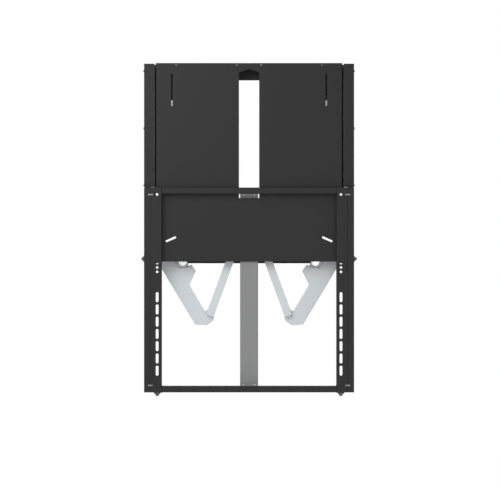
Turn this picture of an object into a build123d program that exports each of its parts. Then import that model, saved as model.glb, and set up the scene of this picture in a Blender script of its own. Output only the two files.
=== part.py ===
"""Counterbalanced wall mount: a display slides up and down in front of a box on the wall.

Millimetres, +X to the viewer's right, +Z up, the viewer at -Y. The wall is the plane Y = 0 and the
origin is the centre of the four outer wall bolts. A depth is a distance from the wall towards the
viewer. The carriage is drawn at the bottom of its travel, as it hangs with the display low.
"""
import math
import os

from build123d import *

os.makedirs("parts", exist_ok=True)

# Travel and the two frames
travel = 400.0
display_span = 600.0  # between the two columns of display holes
box_height = 650.0
box_depth = 80.0
carriage_height = 669.0
rail_depth = 25.0
nest_drop = 8.0  # top of the raised carriage below the top of the box
rail_gap = 4.0  # between the front of the box and the back of the rails
rail_outside = 43.0  # from a column of display holes to the outer edge of its rail
rail_inside = 15.0
box_overhang = 1.0  # of the box past the rails, on each side

# Wall bolts
wall_bolt_span = 406.4
wall_bolt_inner_span = 140.0
wall_bolt_below_top = 27.0
wall_bolt_above_bottom = 23.0
wall_slot_width = 9.0
wall_slot_length = 40.0

# Sheets and folds
beam_sheet = 3.0
cover_sheet = 2.0
side_cover_sheet = 1.5
upright_sheet = 2.0
guide_sheet = 2.5
rail_sheet = 2.0
spine_sheet = 2.0
plate_sheet = 2.0
bracket_sheet = 3.0
anchor_sheet = 4.0
fold = 1.0  # inside radius of every fold

# Wall unit
side_strip = 34.0
cover_lip = 14.0
cover_clearance = 1.0  # beam ends inside the lips of the cover
guide_slit = 5.0
side_cover_drop = 2.0
side_cover_past_rails = 5.0
top_beam_height = 52.0
top_beam_lip = 13.0
bottom_beam_height = 58.0
bottom_beam_drop = 6.0
bottom_beam_flange = 11.0
upright_wall_flange = 39.0  # closes the back of the guide slit
upright_front_flange = 20.0
upright_setback = 4.0  # behind the front of the box
centre_slot_width = 66.0
centre_slot_spare = 10.0  # of the centre slot below the tab of the lowered spine
centre_slot_shoulder = 30.0
centre_slot_peak = 19.0
notch_width = 5.0
notch_depth = 1.5
indicator_inset = 52.0  # from the edge of the cover
indicator_slot_width = 5.5
indicator_slot_top = 35.0
indicator_slot_bottom = 141.0
slant_slot_inset = 49.0
slant_slot_above_bottom = 73.0
slant_slot_length = 37.0
slant_slot_width = 6.5
slant_slot_angle = 23.7
cover_screw_inner_x = 40.0
cover_screw_inset = 66.5
cover_screw_below_top = 6.4
side_screw_below_top = 24.0
side_screw_pitch = 188.0
side_screw_count = 3
side_screw_depth = 42.0

# Rollers and their guides
roller_diameter = 33.0
roller_width = 14.0
roller_play = 0.3
roller_setback = 27.0  # of the axles behind the front of the box
roller_axle = 10.0
running_gap = 0.05
guide_top_drop = 5.0
guide_reach = 29.5
stop_thickness = 4.0
stop_width = 30.0

# Carriage
rail_step = 1.5
rail_step_inset = 22.0
crossbar_height = 21.0
display_slot_width = 9.0
display_slot_length = 32.5
display_slot_pitch = 40.0
display_slot_count = 7
display_slot_above_rail_foot = 311.0  # centre of the highest slot
display_hole_diameter = 8.0
display_hole_pitch = 14.2
display_hole_count = 3
display_hole_above_slot = 111.0  # highest hole above the highest slot
rail_window_inset = 21.0
rail_window_width = 17.0
rail_window_height = 4.0
window_clip_margin = 2.0
window_clip_sheet = 1.5
plate_screw_below_rail_top = 23.0
spine_width = 59.0
spine_setback = 6.0  # behind the front of the box
spine_reach = 20.0
spine_tab = 3.0
spine_screw_x = 18.0
roller_plate_drop = 4.0
roller_plate_above_bottom = 5.0  # of the box, with the carriage down
roller_inset = 20.0
roller_plate_foot = 18.0

# Corner brackets and the flanged bolts at the lower corners
bracket_foot_inset = 19.0
bracket_leg = 20.0
bracket_back_depth = 8.0
bracket_guide_gap = 3.0
bracket_arm_gap = 6.7
flange_bolt_diameter = 8.0
side_bolt_flange = 27.0
flange_bolt_rim = 2.0
flange_bolt_cone = 6.5  # height of the cone between the rim and the nose
flange_bolt_nose = 11.0
flange_bolt_height = 12.0
rail_bolt_flange = 23.0
flange_bolt_rise = 9.0  # above the bottom of the box

# Counterbalance linkage, seen on the left side
arm_pivot_inset = 15.0  # from the edge of the cover
arm_pivot_above_bottom = 37.0
elbow_reach = 164.0  # from the arm pivot towards the centre
elbow_drop = 205.5
link_length = 310.0
link_pivot_x = 19.0
spring_pin_reach = 72.0
spring_pin_drop = 38.0
spring_hook_below_top = 252.0
spring_depth = 44.0

# Arms and links
arm_back_depth = 19.0
arm_thickness = 5.0
arm_hub_radius = 25.0
arm_hub_depth = 15.0
arm_pin_radius = 8.0
arm_elbow_radius = 13.0
arm_corner = 4.0
arm_edge_round = 1.5
lug_thickness = 4.0
lug_radius = 14.0
link_width = 25.0
link_end = 11.0  # of a link past its pivots
link_corner = 4.0
link_height = 16.0
link_wall = 2.5
link_back_depth = 25.3
link_pin_radius = 6.0
link_boss_radius = 9.5
pin_head_height = 2.5
bracket_margin = 19.85  # around the link pivots
bracket_height = 44.0

# Springs, screws and nuts
coil_radius = 16.5
coil_wire = 5.0
coil_turns = 24
coil_gap_least = 0.4
plug_radius = 13.6
plug_length = 26.0
plug_start = 14.0
coil_start = 20.0
rod_reach = 86.0
rod_radius = 5.0
eye_radius = 13.0
eye_thickness = 12.0
hook_radius = 9.0
hook_thickness = 12.0
hook_pin_radius = 4.0
nut_height = 19.0
nut_width = 28.0
nut_yoke_width = 16.0
nut_yoke_sheet = 4.0
nut_rise = 85.0
pointer_width = 12.0
pointer_gap = 1.0
screw_radius = 5.0
screw_lead = 3.0
screw_head_radius = 9.0
screw_head_height = 10.0
screw_socket = 8.0
screw_tail_below_top = 150.0
anchor_below_top = 26.0
anchor_width = 40.0
anchor_leg = 20.0
washer_thickness = 2.0
washer_radius = 12.0

# Places worked out from the sizes above
display_hole_x = display_span / 2
rail_width = rail_inside + rail_outside
carriage_width = display_span + 2 * rail_outside
box_width = carriage_width + 2 * box_overhang
cover_width = box_width - 2 * (side_strip + guide_slit)
carriage_depth = box_depth + rail_gap + rail_depth
wall_bolt_rise = box_height - wall_bolt_below_top - wall_bolt_above_bottom
box_top = wall_bolt_rise / 2 + wall_bolt_below_top
box_bottom = box_top - box_height
cover_back = box_depth - cover_sheet
upright_depth = box_depth - upright_setback
roller_depth = box_depth - roller_setback
spine_front_depth = box_depth - spine_setback
arm_front_depth = arm_back_depth + arm_thickness
cover_half = cover_width / 2
beam_half = cover_half - cover_sheet - cover_clearance
beam_length = box_width - 2 * side_cover_sheet
upright_face = box_width / 2 - side_cover_sheet
bottom_beam_low = box_bottom - bottom_beam_drop
rail_back = box_depth + rail_gap
rail_outer = carriage_width / 2
rail_inner = rail_outer - rail_width
carriage_top = box_top - nest_drop - travel
carriage_bottom = carriage_top - carriage_height
spine_top = carriage_top - crossbar_height
spine_bottom = carriage_bottom + crossbar_height
centre_slot_low = spine_top - spine_tab - centre_slot_spare
side_cover_low = carriage_top + side_cover_past_rails - side_cover_drop
indicator_x = cover_half - indicator_inset
cover_screw_x = (cover_screw_inner_x, cover_half - cover_screw_inset)
sides = {"left": -1, "right": 1}


def facing(depth):
    """The upright plane at a depth, drawn on as the viewer sees it: X across and Z up."""
    return Plane.XZ.offset(depth)


def mirrored(points, side):
    """A path of the right side, or its mirror image walked so that the same hand lies inside."""
    return points if side > 0 else [(-x, y) for x, y in reversed(points)]


def sheet(profile, points, thickness):
    """Draws a folded sheet in the open sketch. One face runs through the points and the other lies to
    the left of them. Every fold is rounded."""
    path = [Vector(*point) for point in points]
    normals = [(end - start).normalized().rotate(Axis.Z, 90) for start, end in zip(path, path[1:])]
    far = [path[0] + normals[0] * thickness]
    for corner, before, after in zip(path[1:-1], normals, normals[1:]):
        far.append(corner + (before + after) * (thickness / (1 + before.dot(after))))
    far.append(path[-1] + normals[-1] * thickness)
    Polygon(*path, *reversed(far), align=None)
    for near_corner, far_corner, before, after in zip(path[1:-1], far[1:-1], normals, normals[1:]):
        turns_left = before.cross(after).Z > 0
        inside = far_corner if turns_left else near_corner
        outside = near_corner if turns_left else far_corner
        fillet(profile.vertices().sort_by_distance(inside)[0], fold)
        fillet(profile.vertices().sort_by_distance(outside)[0], fold + thickness)


def save(piece, name):
    """Names a finished piece and writes it."""
    piece.part.label = name
    export_step(piece.part, f"parts/{name}.step")


def turned(steps):
    """Draws half the outline of a turned piece in the open sketch: each step is (radius, from, to)."""
    for radius, low, high in steps:
        Polygon((0, low), (radius, low), (radius, high), (0, high), align=None)


def flange_bolt(seat, flange):
    """Draws half a flanged bolt with a cone under its nose in the open sketch."""
    turned([(flange_bolt_diameter / 2, seat - 10, seat)])
    Polygon(
        (0, seat),
        (flange / 2, seat),
        (flange / 2, seat + flange_bolt_rim),
        (flange_bolt_nose / 2, seat + flange_bolt_rim + flange_bolt_cone),
        (flange_bolt_nose / 2, seat + flange_bolt_height),
        (0, seat + flange_bolt_height),
        align=None,
    )


def wall_bolt_holes(row):
    """Cuts one row of wall slots and holes through the sheet against the wall."""
    with Locations(*[(x * wall_bolt_span / 2, row) for x in (-1, 1)]):
        SlotOverall(wall_slot_length, wall_slot_width)
    with Locations(*[(x * wall_bolt_inner_span / 2, row) for x in (-1, 1)]):
        Circle(wall_slot_width / 2)


# Top beam: web on the wall, top plate and lip behind the cover
with BuildPart() as top_beam:
    with BuildSketch(Plane.YZ.offset(-beam_length / 2)) as profile:
        web_low = box_top - top_beam_height
        lip_low = box_top - top_beam_lip
        sheet(
            profile,
            [(0, web_low), (0, box_top), (-cover_back, box_top), (-cover_back, lip_low)],
            beam_sheet,
        )
    extrude(amount=beam_length)
    with BuildSketch(Plane.XY.offset(box_top)):
        for x in (-1, 1):
            with Locations((x * (beam_half + box_width) / 2, -(box_depth + beam_sheet) / 2)):
                Rectangle(box_width - beam_half, box_depth - beam_sheet)
    extrude(amount=-top_beam_height, mode=Mode.SUBTRACT)
    with BuildSketch(Plane.XY.offset(box_top)):
        with Locations((-indicator_x, -spring_depth), (indicator_x, -spring_depth)):
            Circle(screw_head_radius - 2)
    extrude(amount=-beam_sheet, mode=Mode.SUBTRACT)
    with BuildSketch(facing(0)):
        wall_bolt_holes(wall_bolt_rise / 2)
    extrude(amount=beam_sheet, mode=Mode.SUBTRACT)
    with BuildSketch(facing(cover_back - beam_sheet)):
        with Locations(*[(s * x, box_top - cover_screw_below_top) for x in cover_screw_x for s in (-1, 1)]):
            Circle(2.5 + running_gap)
    extrude(amount=beam_sheet, mode=Mode.SUBTRACT)
save(top_beam, "top_beam")

# Bottom beam: a shallow channel that carries the arm pivots
with BuildPart() as bottom_beam:
    with BuildSketch(Plane.YZ.offset(-beam_length / 2)) as profile:
        beam_high = bottom_beam_low + bottom_beam_height
        sheet(
            profile,
            [
                (-bottom_beam_flange, bottom_beam_low),
                (0, bottom_beam_low),
                (0, beam_high),
                (-bottom_beam_flange, beam_high),
            ],
            beam_sheet,
        )
    extrude(amount=beam_length)
    with BuildSketch(Plane.XY.offset(bottom_beam_low)):
        for x in (-1, 1):
            with Locations((x * (beam_half + box_width) / 2, -(box_depth + beam_sheet) / 2)):
                Rectangle(box_width - beam_half, box_depth - beam_sheet)
    extrude(amount=bottom_beam_height, mode=Mode.SUBTRACT)
    with BuildSketch(facing(0)):
        wall_bolt_holes(-wall_bolt_rise / 2)
    extrude(amount=beam_sheet, mode=Mode.SUBTRACT)
save(bottom_beam, "bottom_beam")

# Front cover with lips along both sides
with BuildPart() as front_cover:
    with BuildSketch(Plane.XY.offset(box_bottom)) as profile:
        lip_back = box_depth - cover_lip
        sheet(
            profile,
            [
                (-cover_half, -lip_back),
                (-cover_half, -box_depth),
                (cover_half, -box_depth),
                (cover_half, -lip_back),
            ],
            cover_sheet,
        )
    extrude(amount=box_height)
    with BuildSketch(facing(cover_back)):
        slot_half = centre_slot_width / 2
        Polygon(
            (-slot_half, centre_slot_low),
            (slot_half, centre_slot_low),
            (slot_half, box_top - centre_slot_shoulder),
            (0, box_top - centre_slot_peak),
            (-slot_half, box_top - centre_slot_shoulder),
            align=None,
        )
        Polygon(
            (-notch_width / 2, box_top), (0, box_top - notch_depth), (notch_width / 2, box_top), align=None
        )
        for side in sides.values():
            slot_middle = box_top - (indicator_slot_top + indicator_slot_bottom) / 2
            with Locations(Location((side * indicator_x, slot_middle, 0), (0, 0, 90))):
                SlotOverall(indicator_slot_bottom - indicator_slot_top, indicator_slot_width)
            slant_spot = (side * (cover_half - slant_slot_inset), box_bottom + slant_slot_above_bottom, 0)
            with Locations(Location(slant_spot, (0, 0, -side * slant_slot_angle))):
                SlotOverall(slant_slot_length, slant_slot_width)
            with Locations(*[(side * x, box_top - cover_screw_below_top) for x in cover_screw_x]):
                Circle(2.5 + running_gap)
    extrude(amount=cover_sheet, mode=Mode.SUBTRACT)
save(front_cover, "front_cover")

# Cover screws: low button heads
with BuildPart() as cover_screws:
    for side in sides.values():
        for x in cover_screw_x:
            spot = (side * x, 0, box_top - cover_screw_below_top)
            with BuildSketch(Plane(origin=spot, x_dir=(1, 0, 0), z_dir=(0, 0, 1))):
                Polygon(
                    (0, -box_depth - 2.5),
                    (2.6, -box_depth - 2.5),
                    (4.0, -box_depth - 1.6),
                    (4.75, -box_depth),
                    (2.5, -box_depth),
                    (2.5, -cover_back + beam_sheet + 3),
                    (0, -cover_back + beam_sheet + 3),
                    align=None,
                )
            revolve(axis=Axis(spot, (0, 1, 0)))
save(cover_screws, "cover_screws")

side_screw_rows = [
    box_top - side_screw_below_top - row * side_screw_pitch for row in range(side_screw_count)
]
guide_half = roller_diameter / 2 + roller_play + guide_sheet
guide_back = upright_face - upright_sheet
ear_depth = roller_depth - guide_half - bracket_guide_gap
flange_bolt_depth = (bracket_back_depth + ear_depth) / 2
guide_low = box_bottom + bracket_sheet
guide_high = box_top - guide_top_drop
corner_bolt_height = box_bottom + flange_bolt_rise

for name, side in sides.items():
    # Upright: a channel from beam to beam along the side of the box
    with BuildPart() as upright:
        with BuildSketch(Plane.XY.offset(bottom_beam_low)) as profile:
            sheet(
                profile,
                mirrored(
                    [
                        (upright_face - upright_front_flange, -upright_depth),
                        (upright_face, -upright_depth),
                        (upright_face, -beam_sheet),
                        (upright_face - upright_wall_flange, -beam_sheet),
                    ],
                    side,
                ),
                upright_sheet,
            )
        extrude(amount=box_top - side_cover_drop - bottom_beam_low)
        with BuildSketch(Plane.YZ.offset(side * (upright_face - upright_sheet))):
            with Locations(*[(-side_screw_depth, row) for row in side_screw_rows]):
                Circle(2 + running_gap)
            with Locations((-flange_bolt_depth, corner_bolt_height)):
                Circle(flange_bolt_diameter / 2 + running_gap)
        extrude(amount=side * upright_sheet, mode=Mode.SUBTRACT)
    save(upright, f"upright_{name}")

    # Roller guide: a channel that opens towards the centre
    with BuildPart() as guide:
        with BuildSketch(Plane.XY.offset(guide_low)) as profile:
            sheet(
                profile,
                mirrored(
                    [
                        (guide_back - guide_reach, -roller_depth - guide_half),
                        (guide_back, -roller_depth - guide_half),
                        (guide_back, -roller_depth + guide_half),
                        (guide_back - guide_reach, -roller_depth + guide_half),
                    ],
                    side,
                ),
                guide_sheet,
            )
        extrude(amount=guide_high - guide_low)
        with BuildSketch(Plane.YZ.offset(side * (guide_back - guide_sheet))):
            with Locations(*[(-side_screw_depth, row) for row in side_screw_rows]):
                Circle(2 + running_gap)
        extrude(amount=side * guide_sheet, mode=Mode.SUBTRACT)
    save(guide, f"roller_guide_{name}")

    # Side cover: a folded strip around the edge of the box
    with BuildPart() as side_cover:
        with BuildSketch(Plane.XY.offset(side_cover_low)) as profile:
            sheet(
                profile,
                mirrored(
                    [
                        (cover_half + guide_slit, -box_depth),
                        (box_width / 2, -box_depth),
                        (box_width / 2, -beam_sheet),
                    ],
                    side,
                ),
                side_cover_sheet,
            )
        extrude(amount=box_top - side_cover_drop - side_cover_low)
        with BuildSketch(Plane.YZ.offset(side * upright_face)):
            with Locations(*[(-side_screw_depth, row) for row in side_screw_rows]):
                Circle(2 + running_gap)
        extrude(amount=side * side_cover_sheet, mode=Mode.SUBTRACT)
    save(side_cover, f"side_cover_{name}")

    # Corner bracket: holds the foot of the cover and closes the foot of the guide
    with BuildPart() as corner_bracket:
        foot_inner = cover_half - bracket_foot_inset
        foot_back = arm_front_depth + bracket_arm_gap
        with BuildSketch(Plane.XY.offset(box_bottom)):
            Polygon(
                *mirrored(
                    [
                        (foot_inner, -cover_back),
                        (cover_half - cover_sheet - fold, -cover_back),
                        (cover_half - cover_sheet - fold, -lip_back + fold),
                        (guide_back, -lip_back + fold),
                        (guide_back, -bracket_back_depth),
                        (guide_back - 14, -bracket_back_depth),
                        (guide_back - 14, -foot_back),
                        (foot_inner, -foot_back),
                    ],
                    side,
                ),
                align=None,
            )
        extrude(amount=bracket_sheet)
        with BuildSketch(Plane.YZ.offset(side * guide_back)):
            with Locations((-flange_bolt_depth, box_bottom + bracket_leg / 2)):
                Rectangle(ear_depth - bracket_back_depth, bracket_leg)
            with Locations((-flange_bolt_depth, corner_bolt_height)):
                Circle(flange_bolt_diameter / 2 + running_gap, mode=Mode.SUBTRACT)
        extrude(amount=-side * bracket_sheet)
        with BuildSketch(facing(cover_back - plate_sheet)):
            with Locations((side * (foot_inner + 8), box_bottom + 9)):
                Rectangle(16, 18)
        extrude(amount=plate_sheet)
    save(corner_bracket, f"corner_bracket_{name}")

    # Spring anchor: an angle bracket under the top plate
    with BuildPart() as spring_anchor:
        with BuildSketch(Plane.YZ.offset(side * indicator_x - anchor_width / 2)) as profile:
            anchor_top = box_top - anchor_below_top
            sheet(
                profile,
                [
                    (-beam_sheet, anchor_top - anchor_leg),
                    (-beam_sheet, anchor_top),
                    (-spring_depth - anchor_width / 2, anchor_top),
                ],
                anchor_sheet,
            )
        extrude(amount=anchor_width)
        with BuildSketch(Plane.XY.offset(anchor_top)):
            with Locations((side * indicator_x, -spring_depth)):
                Circle(screw_radius + 4 * running_gap)
        extrude(amount=-anchor_sheet, mode=Mode.SUBTRACT)
    save(spring_anchor, f"spring_anchor_{name}")

# Side cover screws
with BuildPart() as side_cover_screws:
    for side in sides.values():
        for row in side_screw_rows:
            face = side * box_width / 2
            with BuildSketch(Plane.XZ.offset(side_screw_depth)):
                with Locations(Location((face, row, 0), (0, 0, -90 * side))):
                    Polygon((0, 3.5), (2.4, 3.5), (4, 1.6), (4, 0), (2, 0), (2, -9), (0, -9), align=None)
            revolve(axis=Axis((face, -side_screw_depth, row), (1, 0, 0)))
save(side_cover_screws, "side_cover_screws")

# Flanged bolts through the corner brackets
with BuildPart() as side_flange_bolts:
    for side in sides.values():
        spot = Plane(origin=(0, -flange_bolt_depth, corner_bolt_height), x_dir=(0, 1, 0), z_dir=(0, 0, -side))
        with BuildSketch(spot):
            flange_bolt(upright_face, side_bolt_flange)
        revolve(axis=Axis((0, -flange_bolt_depth, corner_bolt_height), (1, 0, 0)))
    rims = side_flange_bolts.edges().filter_by(GeomType.CIRCLE).sort_by(Axis.X)
    fillet([rims[0], rims[-1]], 1.5)
save(side_flange_bolts, "side_flange_bolts")

# Rubber stops at both ends of the guides
stop_x = guide_back - guide_reach + roller_width / 2 + 2
for stop_name, stop_low in (("lower_stops", guide_low), ("upper_stops", guide_high - 2.5 * stop_thickness)):
    stop_height = stop_thickness if stop_name == "lower_stops" else 2.5 * stop_thickness
    with BuildPart() as stops:
        with BuildSketch(Plane.XY.offset(stop_low)):
            for side in sides.values():
                with Locations((side * stop_x, -roller_depth)):
                    RectangleRounded(roller_width, stop_width, 2)
        extrude(amount=stop_height)
    save(stops, stop_name)

# Thrust washers under the heads of the tension screws
with BuildPart() as thrust_washers:
    with BuildSketch(Plane.XY.offset(anchor_top)):
        with Locations((-indicator_x, -spring_depth), (indicator_x, -spring_depth)):
            Circle(washer_radius)
            Circle(screw_radius + 4 * running_gap, mode=Mode.SUBTRACT)
    extrude(amount=washer_thickness)
save(thrust_washers, "thrust_washers")

# Carriage frame: two rails and two crossbars
slot_rows = [
    carriage_bottom + display_slot_above_rail_foot - row * display_slot_pitch
    for row in range(display_slot_count)
]
hole_rows = [
    slot_rows[0] + display_hole_above_slot - row * display_hole_pitch for row in range(display_hole_count)
]
plate_screw_row = carriage_top - plate_screw_below_rail_top
window_rows = [spine_top - rail_window_height / 2, spine_bottom + rail_window_height / 2]
rail_foot_depth = (rail_back + carriage_depth - rail_step) / 2

for name, side in sides.items():
    with BuildPart() as rail:
        with BuildSketch(Plane.XY.offset(carriage_bottom)) as profile:
            step_x = rail_outer - rail_step_inset
            step_depth = carriage_depth - rail_step
            sheet(
                profile,
                mirrored(
                    [
                        (rail_inner, -rail_back),
                        (rail_inner, -carriage_depth),
                        (step_x, -carriage_depth),
                        (step_x + rail_step, -step_depth),
                        (rail_outer, -step_depth),
                        (rail_outer, -rail_back),
                    ],
                    side,
                ),
                rail_sheet,
            )
        extrude(amount=carriage_height)
        with BuildSketch(Plane.XY.offset(carriage_bottom)):
            with Locations((side * (rail_inner + rail_outer) / 2, -rail_foot_depth)):
                Rectangle(rail_width - 2 * rail_sheet, step_depth - rail_back - 2 * rail_sheet)
        extrude(amount=rail_sheet)
        with BuildSketch(facing(carriage_depth - 3 * rail_sheet)):
            for row in slot_rows:
                with Locations(Location((side * display_hole_x, row, 0), (0, 0, 90))):
                    SlotOverall(display_slot_length, display_slot_width)
            with Locations(*[(side * display_hole_x, row) for row in hole_rows]):
                Circle(display_hole_diameter / 2)
            with Locations(*[(side * (rail_outer - rail_window_inset), row) for row in window_rows]):
                Rectangle(rail_window_width, rail_window_height)
            with Locations((side * display_hole_x, plate_screw_row)):
                Circle(2.5 + running_gap)
        extrude(amount=3 * rail_sheet, mode=Mode.SUBTRACT)
        with BuildSketch(Plane.XY.offset(carriage_bottom)):
            with Locations((side * display_hole_x, -rail_foot_depth)):
                Circle(flange_bolt_diameter / 2 + running_gap)
        extrude(amount=rail_sheet, mode=Mode.SUBTRACT)
    save(rail, f"rail_{name}")

    # Roller plate: reaches back through the slit beside the cover
    with BuildPart() as roller_plate:
        plate_top = carriage_top - roller_plate_drop
        plate_low = box_bottom + roller_plate_above_bottom
        plate_outer = cover_half + (guide_slit + 1) / 2
        roller_rows = [plate_top - roller_inset, plate_low + roller_inset]
        with BuildSketch(Plane.XY.offset(plate_low)) as profile:
            sheet(
                profile,
                mirrored(
                    [
                        (plate_outer - roller_plate_foot, -carriage_depth + rail_sheet),
                        (plate_outer, -carriage_depth + rail_sheet),
                        (plate_outer, -roller_depth + guide_half - guide_sheet),
                    ],
                    side,
                ),
                plate_sheet,
            )
        extrude(amount=plate_top - plate_low)
        with BuildSketch(Plane.YZ.offset(side * (plate_outer - plate_sheet))):
            with Locations(*[(-roller_depth, row) for row in roller_rows]):
                Circle(roller_axle / 2 + running_gap)
        extrude(amount=side * plate_sheet, mode=Mode.SUBTRACT)
        with BuildSketch(facing(carriage_depth - rail_sheet - plate_sheet)):
            with Locations((side * display_hole_x, plate_screw_row)):
                Circle(2.5 + running_gap)
        extrude(amount=plate_sheet, mode=Mode.SUBTRACT)
    save(roller_plate, f"roller_plate_{name}")

    # Rollers, each on its own axle
    for place, row in zip(("upper", "lower"), roller_rows):
        with BuildPart() as roller:
            start = plate_outer + 5
            with BuildSketch(Plane.YZ.offset(side * start)):
                with Locations((-roller_depth, row)):
                    Circle(roller_diameter / 2)
                    Circle(roller_axle / 2 + running_gap, mode=Mode.SUBTRACT)
            extrude(amount=side * roller_width)
            rims = roller.edges().filter_by(GeomType.CIRCLE).group_by(SortBy.RADIUS)[-1]
            fillet(rims, 1.5)
        save(roller, f"roller_{place}_{name}")

with BuildPart() as roller_axles:
    for side in sides.values():
        for row in roller_rows:
            spot = Plane(origin=(0, -roller_depth, row), x_dir=(0, 1, 0), z_dir=(0, 0, -side))
            with BuildSketch(spot):
                turned(
                    [
                        (roller_axle / 2 + 3, plate_outer - plate_sheet - 2.5, plate_outer - plate_sheet),
                        (roller_axle / 2, plate_outer - plate_sheet, plate_outer + 5 + roller_width + 3),
                        (roller_axle / 2 + 2, plate_outer, plate_outer + 4.7),
                        (
                            roller_axle / 2 + 2,
                            plate_outer + 5.3 + roller_width,
                            plate_outer + 6.8 + roller_width,
                        ),
                    ]
                )
            revolve(axis=Axis((0, -roller_depth, row), (1, 0, 0)))
save(roller_axles, "roller_axles")

with BuildPart() as plate_screws:
    for side in sides.values():
        spot = (side * display_hole_x, 0, plate_screw_row)
        with BuildSketch(Plane(origin=spot, x_dir=(1, 0, 0), z_dir=(0, 0, 1))):
            Polygon(
                (0, -carriage_depth - 2.5),
                (3.0, -carriage_depth - 2.5),
                (5.0, -carriage_depth - 1.2),
                (5.0, -carriage_depth),
                (2.5, -carriage_depth),
                (2.5, -carriage_depth + 8),
                (0, -carriage_depth + 8),
                align=None,
            )
        revolve(axis=Axis(spot, (0, 1, 0)))
save(plate_screws, "plate_screws")

# Plated clips behind the windows of the rails
with BuildPart() as window_clips:
    with BuildSketch(facing(carriage_depth - rail_step - rail_sheet - window_clip_sheet)):
        for side in sides.values():
            with Locations(*[(side * (rail_outer - rail_window_inset), row) for row in window_rows]):
                Rectangle(
                    rail_window_width + 2 * window_clip_margin, rail_window_height + 2 * window_clip_margin
                )
    extrude(amount=window_clip_sheet)
save(window_clips, "window_clips")

with BuildPart() as rail_flange_bolts:
    for side in sides.values():
        spot = Plane(
            origin=(side * display_hole_x, -rail_foot_depth, carriage_bottom), x_dir=(1, 0, 0), z_dir=(0, 1, 0)
        )
        with BuildSketch(spot):
            flange_bolt(0, rail_bolt_flange)
        revolve(axis=Axis(spot.origin, (0, 0, 1)))
    rims = rail_flange_bolts.edges().filter_by(GeomType.CIRCLE).sort_by(Axis.Z)
    fillet(rims[0:2], 1.5)
save(rail_flange_bolts, "rail_flange_bolts")

for bar_name, bar_low in (("top_crossbar", spine_top), ("bottom_crossbar", carriage_bottom)):
    with BuildPart() as crossbar:
        bar_high = bar_low + crossbar_height
        with BuildSketch(Plane.YZ.offset(-rail_inner)) as profile:
            sheet(
                profile,
                [
                    (-rail_back, bar_high),
                    (-carriage_depth, bar_high),
                    (-carriage_depth, bar_low),
                    (-rail_back, bar_low),
                ],
                rail_sheet,
            )
        extrude(amount=2 * rail_inner)
        with BuildSketch(Plane.XY.offset(bar_low if bar_name == "top_crossbar" else bar_high - rail_sheet)):
            with Locations(*[(x * spine_screw_x, -rail_foot_depth) for x in (-1, 1)]):
                Circle(3 + running_gap)
        extrude(amount=rail_sheet, mode=Mode.SUBTRACT)
    save(crossbar, bar_name)

# Spine: a channel behind the cover whose tabs reach forward to the crossbars
with BuildPart() as spine:
    spine_half = spine_width / 2
    spine_back = spine_front_depth - spine_reach
    with BuildSketch(Plane.XY.offset(spine_bottom)) as profile:
        sheet(
            profile,
            [
                (-spine_half, -spine_back),
                (-spine_half, -spine_front_depth),
                (spine_half, -spine_front_depth),
                (spine_half, -spine_back),
            ],
            spine_sheet,
        )
    extrude(amount=spine_top - spine_bottom)
    tab_front = carriage_depth - 3 * rail_sheet
    tab_back = spine_front_depth - spine_sheet
    for tab_low in (spine_bottom, spine_top - spine_tab):
        with BuildSketch(Plane.XY.offset(tab_low)):
            with Locations((0, -(tab_back + tab_front) / 2)):
                Rectangle(spine_width, tab_front - tab_back)
            with Locations(*[(x * spine_screw_x, -rail_foot_depth) for x in (-1, 1)]):
                Circle(3 + running_gap, mode=Mode.SUBTRACT)
        extrude(amount=spine_tab)
save(spine, "spine")

with BuildPart() as spine_screws:
    for x in (-1, 1):
        for seat, out in ((spine_top + rail_sheet, 1), (spine_bottom - rail_sheet, -1)):
            spot = (x * spine_screw_x, -rail_foot_depth, seat)
            with BuildSketch(Plane(origin=spot, x_dir=(1, 0, 0), z_dir=(0, -out, 0))):
                turned([(5, 0, 3.5), (3, -rail_sheet - spine_tab - 2, 0)])
            revolve(axis=Axis(spot, (0, 0, 1)))
save(spine_screws, "spine_screws")

# Linkage points of the left side, X across and Z up
arm_pivot = Vector(-cover_half + arm_pivot_inset, box_bottom + arm_pivot_above_bottom)
elbow = arm_pivot + Vector(elbow_reach, -elbow_drop)
link_rise = math.sqrt(link_length**2 - (link_pivot_x + elbow.X) ** 2)
link_pivot = Vector(-link_pivot_x, elbow.Y + link_rise)
spring_pin = arm_pivot + Vector(spring_pin_reach, -spring_pin_drop)
spring_hook = Vector(-indicator_x, box_top - spring_hook_below_top)
arm_length = (elbow - arm_pivot).length
spring_length = (spring_pin - spring_hook).length


def seen_from_front(point, side, depth):
    """A linkage point of the left side, or its mirror image, in space."""
    return Vector(side * -point.X, -depth, point.Y)


def turned_towards_viewer(point, side, steps):
    """Draws and turns a pin whose axis runs from the wall to the viewer, in the open part."""
    centre = seen_from_front(point, side, 0)
    with BuildSketch(Plane(origin=centre, x_dir=(1, 0, 0), z_dir=(0, 0, -1))) as outline:
        turned(steps)
    revolve(outline.sketch, axis=Axis(centre, (0, 1, 0)))


link_front_depth = link_back_depth + link_height
bracket_back = spine_back - anchor_sheet
eye_back = spring_depth - eye_thickness / 2
eye_front = spring_depth + eye_thickness / 2
hook_gap = 0.3

with BuildPart() as link_bracket:
    with BuildSketch(facing(bracket_back)):
        with Locations((0, link_pivot.Y)):
            RectangleRounded(2 * (link_pivot_x + bracket_margin), bracket_height, 6)
        with Locations((-link_pivot.X, link_pivot.Y), (link_pivot.X, link_pivot.Y)):
            Circle(link_pin_radius + running_gap, mode=Mode.SUBTRACT)
    extrude(amount=anchor_sheet)
save(link_bracket, "link_bracket")

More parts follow.
